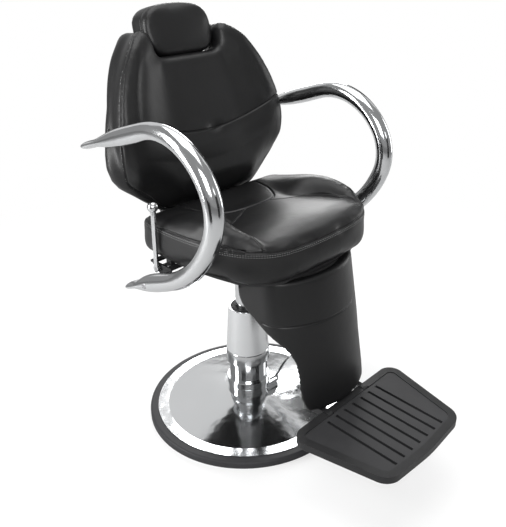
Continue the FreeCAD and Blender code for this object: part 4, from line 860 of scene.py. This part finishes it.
class CHAIR_OT_fill(Operator):
    """Fills the cushions by cloth simulation"""

    bl_idname = "chair.fill"
    bl_label = "Fill cushions"

    def execute(self, context):
        self.simulate(context, context.scene.chair_covers)
        for name, piece in PADDED.items():
            relax(piece, RELAX_FILLED)
            if name == "backrest_cover":
                reach_foot(piece)
                fill_rear(piece)
            if name != "leg_panel_cover":
                subdivide(piece)
            smooth_shading(piece)
        return {"FINISHED"}

    def simulate(self, context, covers):
        """Blows the cushions up a little, each no further than its cap."""
        caps = {"seat_cover": covers.swell, "backrest_cover": covers.swell,
                "headrest_cover": covers.swell * HEAD_SWELL}
        rest = {}
        for name in caps:
            rest[name] = places_of(PADDED[name])
            self.make_cloth(PADDED[name], covers)
        for number in range(1, FILL_FRAMES + 1):
            context.scene.frame_set(number)
        for name, cap in caps.items():
            piece = PADDED[name]
            apply_modifiers(piece)
            move = places_of(piece) - rest[name]
            length = numpy.linalg.norm(move, axis=1, keepdims=True)
            put_places(piece, rest[name] + move * numpy.minimum(1, cap / numpy.maximum(length, 1e-9)))
        context.scene.frame_set(1)

    def make_cloth(self, piece, covers):
        """Cloth that its own pressure fills, without gravity."""
        cloth = piece.modifiers.new("Fill", "CLOTH")
        cloth.settings.quality = 3
        cloth.settings.mass = 0.3
        cloth.settings.use_pressure = True
        cloth.settings.uniform_pressure_force = covers.pressure
        cloth.settings.tension_stiffness = 12
        cloth.settings.compression_stiffness = 12
        cloth.settings.bending_stiffness = 0.6
        cloth.settings.effector_weights.gravity = 0
        cloth.collision_settings.use_collision = False
        cloth.point_cache.frame_end = FILL_FRAMES


class CHAIR_OT_seams(Operator):
    """Sewn creases and their thread"""

    bl_idname = "chair.seams"
    bl_label = "Seams"

    def execute(self, context):
        covers = context.scene.chair_covers
        self.seat_seams(covers)
        self.back_seams(covers)
        self.head_seams(covers)
        self.panel_seams(covers)
        return {"FINISHED"}

    def seat_seams(self, covers):
        piece = PADDED["seat_cover"]
        down = Vector((0, 0, -1))

        def above(point):
            return Vector((point.x, point.y, 0.8))

        half_tongue = [(x, y, 0) for x, y in TONGUE_SEAM]
        tongue = curve_through(half_tongue + mirrored(half_tongue)[::-1][1:])
        sides = [curve_through([(side * x, y, 0) for x, y in BOLSTER_SEAM]) for side in (-1, 1)]
        tree = surface_of(piece)
        laid = [dropped(tree, line, above, down) for line in [tongue] + sides]
        crease(piece, laid + [nearest(tree, self.seat_rim(0.0))], covers.seam_depth, covers.seam_width)
        tree = surface_of(piece)
        stitches("seat_tongue_stitches", dropped(tree, tongue, above, down), -STITCH_ASIDE, "seat", covers)
        for number, drop in enumerate(SEAT_ROWS, 1):
            row = nearest(tree, self.seat_rim(drop))
            stitches(f"seat_edge_stitches_{number}", row, 0.0, "seat", covers)

    def seat_rim(self, drop):
        """Line round the front and sides of the seat, some way below its edge seam."""
        half = [(x, y, SEAT_EDGE_HEIGHT - drop) for x, y in SEAT_EDGE]
        return curve_through(mirrored(half)[::-1] + half[1:])

    def back_seams(self, covers):
        piece = PADDED["backrest_cover"]

        def in_front(point):
            return on_back(point.x, -0.12, point.y)

        self.shape_seam(piece)
        line = curve_through([(x, up, 0) for x, up in BACK_SEAM])
        half = [on_back(x, behind, up) for x, behind, up in BACK_OUTLINE]
        other = [on_back(-x, behind, up) for x, behind, up in reversed(BACK_OUTLINE)]
        edge = curve_through(half + other[1:])
        tree = surface_of(piece)
        laid = [dropped(tree, line, in_front, BACK_BEHIND), nearest(tree, edge)]
        crease(piece, laid, covers.seam_depth, covers.seam_width)
        tree = surface_of(piece)
        laid = dropped(tree, line, in_front, BACK_BEHIND)
        stitches("backrest_stitches", laid, STITCH_ASIDE, "backrest", covers)
        stitches("backrest_edge_stitches", nearest(tree, edge), EDGE_ASIDE, "backrest", covers)

    def shape_seam(self, piece):
        """Swells the backrest below its seam and tucks the seam's middle in."""
        places = places_of(piece)
        across, _, up = back_frame(places)
        middle, end = BACK_SEAM[3], BACK_SEAM[-1]
        seam = middle[1] + SEAM_RISE * numpy.minimum(1, numpy.abs(across) / end[0]) ** SEAM_POWER
        below = numpy.clip((seam - up) / SWELLING["height"], 0, 1)
        swelling = SWELLING["move"] * numpy.sin(math.pi * below) * (1 - (across / SWELLING["half"]) ** 2)
        away = ((across - TUCK["across"]) * TUCK["squash"]) ** 2 + (up - TUCK["up"]) ** 2
        tuck = TUCK["move"] * numpy.exp(-away / TUCK["radius"] ** 2)
        push = (tuck - swelling) * numpy.clip(facing_front(piece) * 2, 0, 1)
        put_places(piece, places + push[:, None] * numpy.array(BACK_BEHIND))

    def head_seams(self, covers):
        piece = PADDED["headrest_cover"]
        rim = []
        for part in range(25):
            turn = 2 * math.pi * part / 24
            across, up = math.cos(turn), math.sin(turn)
            share = (abs(across) ** HEAD_ROUND + abs(up) ** HEAD_ROUND) ** (-1 / HEAD_ROUND)
            rim.append(on_back(HEAD_SEAM["across"] * share * across, HEAD_SEAM["behind"],
                               HEAD_SEAM["middle"] + HEAD_SEAM["up"] * share * up))
        line = nearest(surface_of(piece), curve_through(rim))
        crease(piece, [line], covers.seam_depth, covers.seam_width)

    def panel_seams(self, covers):
        piece = PADDED["leg_panel_cover"]
        line = curve_through(PANEL_SEAM + mirrored(PANEL_SEAM)[::-1][1:])
        crease(piece, [nearest(surface_of(piece), line)], covers.seam_depth * 0.5, covers.seam_width)
        stitches("leg_panel_stitches", nearest(surface_of(piece), line), STITCH_ASIDE, "seat", covers)


class CHAIR_OT_finishes(Operator):
    """Finishes of the pieces that keep their frame shape"""

    bl_idname = "chair.finishes"
    bl_label = "Finishes"

    def execute(self, context):
        for node, finish in NODE_FINISH.items():
            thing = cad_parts[node]
            thing.data.materials.clear()
            thing.data.materials.append(MADE[finish])
        return {"FINISHED"}


# Lamps: place, target, width, height. Each has its power in the settings.
LAMPS = {
    "key": ((-2.0, -2.1, 2.3), (0.0, 0.0, 0.7), 1.6, 1.6),
    "top": ((0.1, 0.1, 3.0), (0.0, 0.0, 0.6), 2.2, 2.2),
    "edge": ((-1.9, 1.0, 1.15), (0.0, 0.1, 0.85), 0.6, 1.9),
    "fill": ((3.0, -0.9, 0.95), (0.0, 0.0, 0.8), 0.9, 1.7),
    "strip": ((0.5, -2.9, 1.3), (0.0, 0.1, 0.8), 0.4, 1.6),
    "back": ((2.1, 1.9, 1.9), (0.0, -0.1, 0.6), 1.5, 1.2),
}

# Black cards that only reflections show: place, target, width, height
CARDS = {
    "left": ((-2.2, 1.3, 0.9), (0, 0, 0.7), 0.9, 2.4),
    "right": ((1.9, 0.5, 0.9), (0, 0, 0.6), 0.7, 2.4),
    "front": ((0.5, -2.6, 0.7), (0, 0, 0.5), 1.1, 1.6),
    "low": ((-1.9, -0.6, 0.35), (0, 0, 0.6), 0.8, 0.7),
    "under": ((0.0, 0.06, 0.47), (0.0, 0.06, 0.0), 0.46, 0.38),
}
WALL = ((2.2, 2.2, 2.6), (0, 0, 0.05), 7.0, 3.4)

# The floor is lit by the lamps near the chair, and plain white beyond the far distance
FLOOR_HALF = 60
FLOOR_NEAR = 0.45
FLOOR_FAR = 1.9
FLOOR_WHITE_NEAR = 0.55
FLOOR_MIRRORED = 0.55

CAMERA_PLACE = (-1.1264, -1.1942, 1.2382)
CAMERA_DOWN = 22.242
CAMERA_TURN = -47.494
CAMERA_SHIFT = (-0.0708, -0.0855)


class CHAIR_OT_stage(Operator):
    """Floor, surround, lamps and camera"""

    bl_idname = "chair.stage"
    bl_label = "Stage"

    def execute(self, context):
        settings = context.scene.chair_stage
        self.floor(context, settings)
        self.surround(context, settings)
        for name, (place, target, width, height) in LAMPS.items():
            self.lamp(context, name, place, target, width, height, getattr(settings, name + "_power"))
        for name, (place, target, width, height) in CARDS.items():
            self.card(context, "studio_card_" + name, place, target, width, height, 0.0)
        self.card(context, "studio_wall", *WALL, settings.wall)
        self.camera(context, settings)
        context.scene.view_settings.view_transform = "Standard"
        return {"FINISHED"}

    def stage_piece(self, context, name, shape, material):
        """Object of the studio that isn't part of the chair."""
        piece = bpy.data.objects.new(name, put_back(shape, bpy.data.meshes.new(name)))
        context.scene.collection.objects.link(piece)
        piece.data.materials.append(material)
        return piece

    def floor(self, context, settings):
        """White floor that keeps the chair's shadow."""
        mix = Recipe("studio_floor")
        tree = mix.tree
        path = tree.nodes.new("ShaderNodeLightPath")
        glow = tree.nodes.new("ShaderNodeEmission")
        seen = Maths(mix, path.outputs["Is Camera Ray"])
        mirrored_ray = Maths(mix, path.outputs["Is Glossy Ray"])
        reach = mix.add("ShaderNodeVectorMath", {"operation": "LENGTH"}, {0: mix.place()}, "Value")
        far = mix.add("ShaderNodeMapRange", {"interpolation_type": "SMOOTHSTEP"},
                      {"Value": reach, "From Min": FLOOR_NEAR, "From Max": FLOOR_FAR,
                       "To Min": FLOOR_WHITE_NEAR, "To Max": 1.0})
        both = tree.nodes.new("ShaderNodeMixShader")
        mix.feed(both.inputs[0], seen * far)
        white = tuple(settings.floor_colour)
        colour = mix.blend(mirrored_ray, white, darker(white, FLOOR_MIRRORED))
        mix.finish(base_color=colour, roughness=0.7, specular_ior_level=0.1)
        tree.links.new(mix.surface.outputs[0], both.inputs[1])
        tree.links.new(glow.outputs[0], both.inputs[2])
        tree.links.new(both.outputs[0], tree.nodes["Material Output"].inputs["Surface"])
        shape = bmesh.new()
        bmesh.ops.create_grid(shape, x_segments=1, y_segments=1, size=FLOOR_HALF)
        self.stage_piece(context, "studio_floor", shape, mix.material)

    def card(self, context, name, place, target, width, height, glow):
        """Card that only reflections show, black or glowing."""
        shape = bmesh.new()
        turn = (Vector(target) - Vector(place)).to_track_quat("Z", "Y").to_matrix().to_4x4()
        bmesh.ops.create_grid(shape, x_segments=1, y_segments=1, size=0.5)
        bmesh.ops.scale(shape, vec=(width, height, 1), verts=shape.verts)
        bmesh.ops.transform(shape, matrix=Matrix.Translation(place) @ turn, verts=shape.verts)
        mix = Recipe(name)
        mix.finish(base_color=(0.01, 0.01, 0.01), roughness=1.0, specular_ior_level=0.0,
                   emission_color=(1.0, 1.0, 1.0), emission_strength=glow)
        card = self.stage_piece(context, name, shape, mix.material)
        card.visible_camera = False
        card.visible_diffuse = False
        card.visible_shadow = False

    def surround(self, context, settings):
        """White to the camera, and two levels of grey for light and for reflections."""
        world = bpy.data.worlds.new("studio")
        context.scene.world = world
        world.use_nodes = True
        tree = world.node_tree
        path = tree.nodes.new("ShaderNodeLightPath")
        back = tree.nodes["Background"]
        back.inputs["Color"].default_value = (1, 1, 1, 1)
        shine = tree.nodes.new("ShaderNodeMix")
        shine.inputs[2].default_value = settings.surround
        shine.inputs[3].default_value = settings.shine
        tree.links.new(path.outputs["Is Glossy Ray"], shine.inputs[0])
        level = tree.nodes.new("ShaderNodeMix")
        level.inputs[3].default_value = 1.0
        tree.links.new(path.outputs["Is Camera Ray"], level.inputs[0])
        tree.links.new(shine.outputs[0], level.inputs[2])
        tree.links.new(level.outputs[0], back.inputs["Strength"])

    def lamp(self, context, name, place, target, width, height, power):
        data = bpy.data.lights.new(name, "AREA")
        data.shape = "RECTANGLE"
        data.size = width
        data.size_y = height
        data.energy = power
        lamp = bpy.data.objects.new(name, data)
        lamp.location = place
        lamp.rotation_mode = "QUATERNION"
        lamp.rotation_quaternion = (Vector(target) - Vector(place)).to_track_quat("-Z", "Y")
        lamp.visible_camera = False
        context.scene.collection.objects.link(lamp)

    def camera(self, context, settings):
        data = bpy.data.cameras.new("camera")
        data.sensor_fit = "AUTO"
        data.sensor_width = 36.0
        data.lens = settings.lens
        data.shift_x, data.shift_y = CAMERA_SHIFT
        camera = bpy.data.objects.new("camera", data)
        camera.location = CAMERA_PLACE
        camera.rotation_euler = (math.radians(90 - CAMERA_DOWN), 0, math.radians(CAMERA_TURN))
        context.scene.collection.objects.link(camera)
        context.scene.camera = camera


OPERATORS = [CHAIR_OT_finishes, CHAIR_OT_seat, CHAIR_OT_backrest, CHAIR_OT_headrest, CHAIR_OT_leg_panel,
             CHAIR_OT_fill, CHAIR_OT_seams, CHAIR_OT_stage]


class CHAIR_PT_panel(Panel):
    """Lists the chair's pieces"""

    bl_idname = "CHAIR_PT_panel"
    bl_label = "Threading chair"
    bl_space_type = "VIEW_3D"
    bl_region_type = "UI"
    bl_category = "Chair"

    def draw(self, context):
        for operator in OPERATORS:
            self.layout.operator(operator.bl_idname)


SETTINGS = {"chair_stage": ChairStageSettings, "chair_covers": ChairCoverSettings,
            "chair_metals": ChairMetalSettings, "chair_mouldings": ChairMouldedSettings}


def register():
    for group in SETTINGS.values():
        bpy.utils.register_class(group)
    for operator in OPERATORS:
        bpy.utils.register_class(operator)
    bpy.utils.register_class(CHAIR_PT_panel)
    for name, group in SETTINGS.items():
        setattr(bpy.types.Scene, name, PointerProperty(type=group))


def unregister():
    for name in SETTINGS:
        delattr(bpy.types.Scene, name)
    bpy.utils.unregister_class(CHAIR_PT_panel)
    for operator in reversed(OPERATORS):
        bpy.utils.unregister_class(operator)
    for group in reversed(SETTINGS.values()):
        bpy.utils.unregister_class(group)


def main():
    register()
    make_materials()
    bpy.ops.chair.finishes()
    bpy.ops.chair.seat()
    bpy.ops.chair.backrest()
    bpy.ops.chair.headrest()
    bpy.ops.chair.leg_panel()
    bpy.ops.chair.fill()
    bpy.ops.chair.seams()
    bpy.ops.chair.stage()


if __name__ == "__main__":
    main()
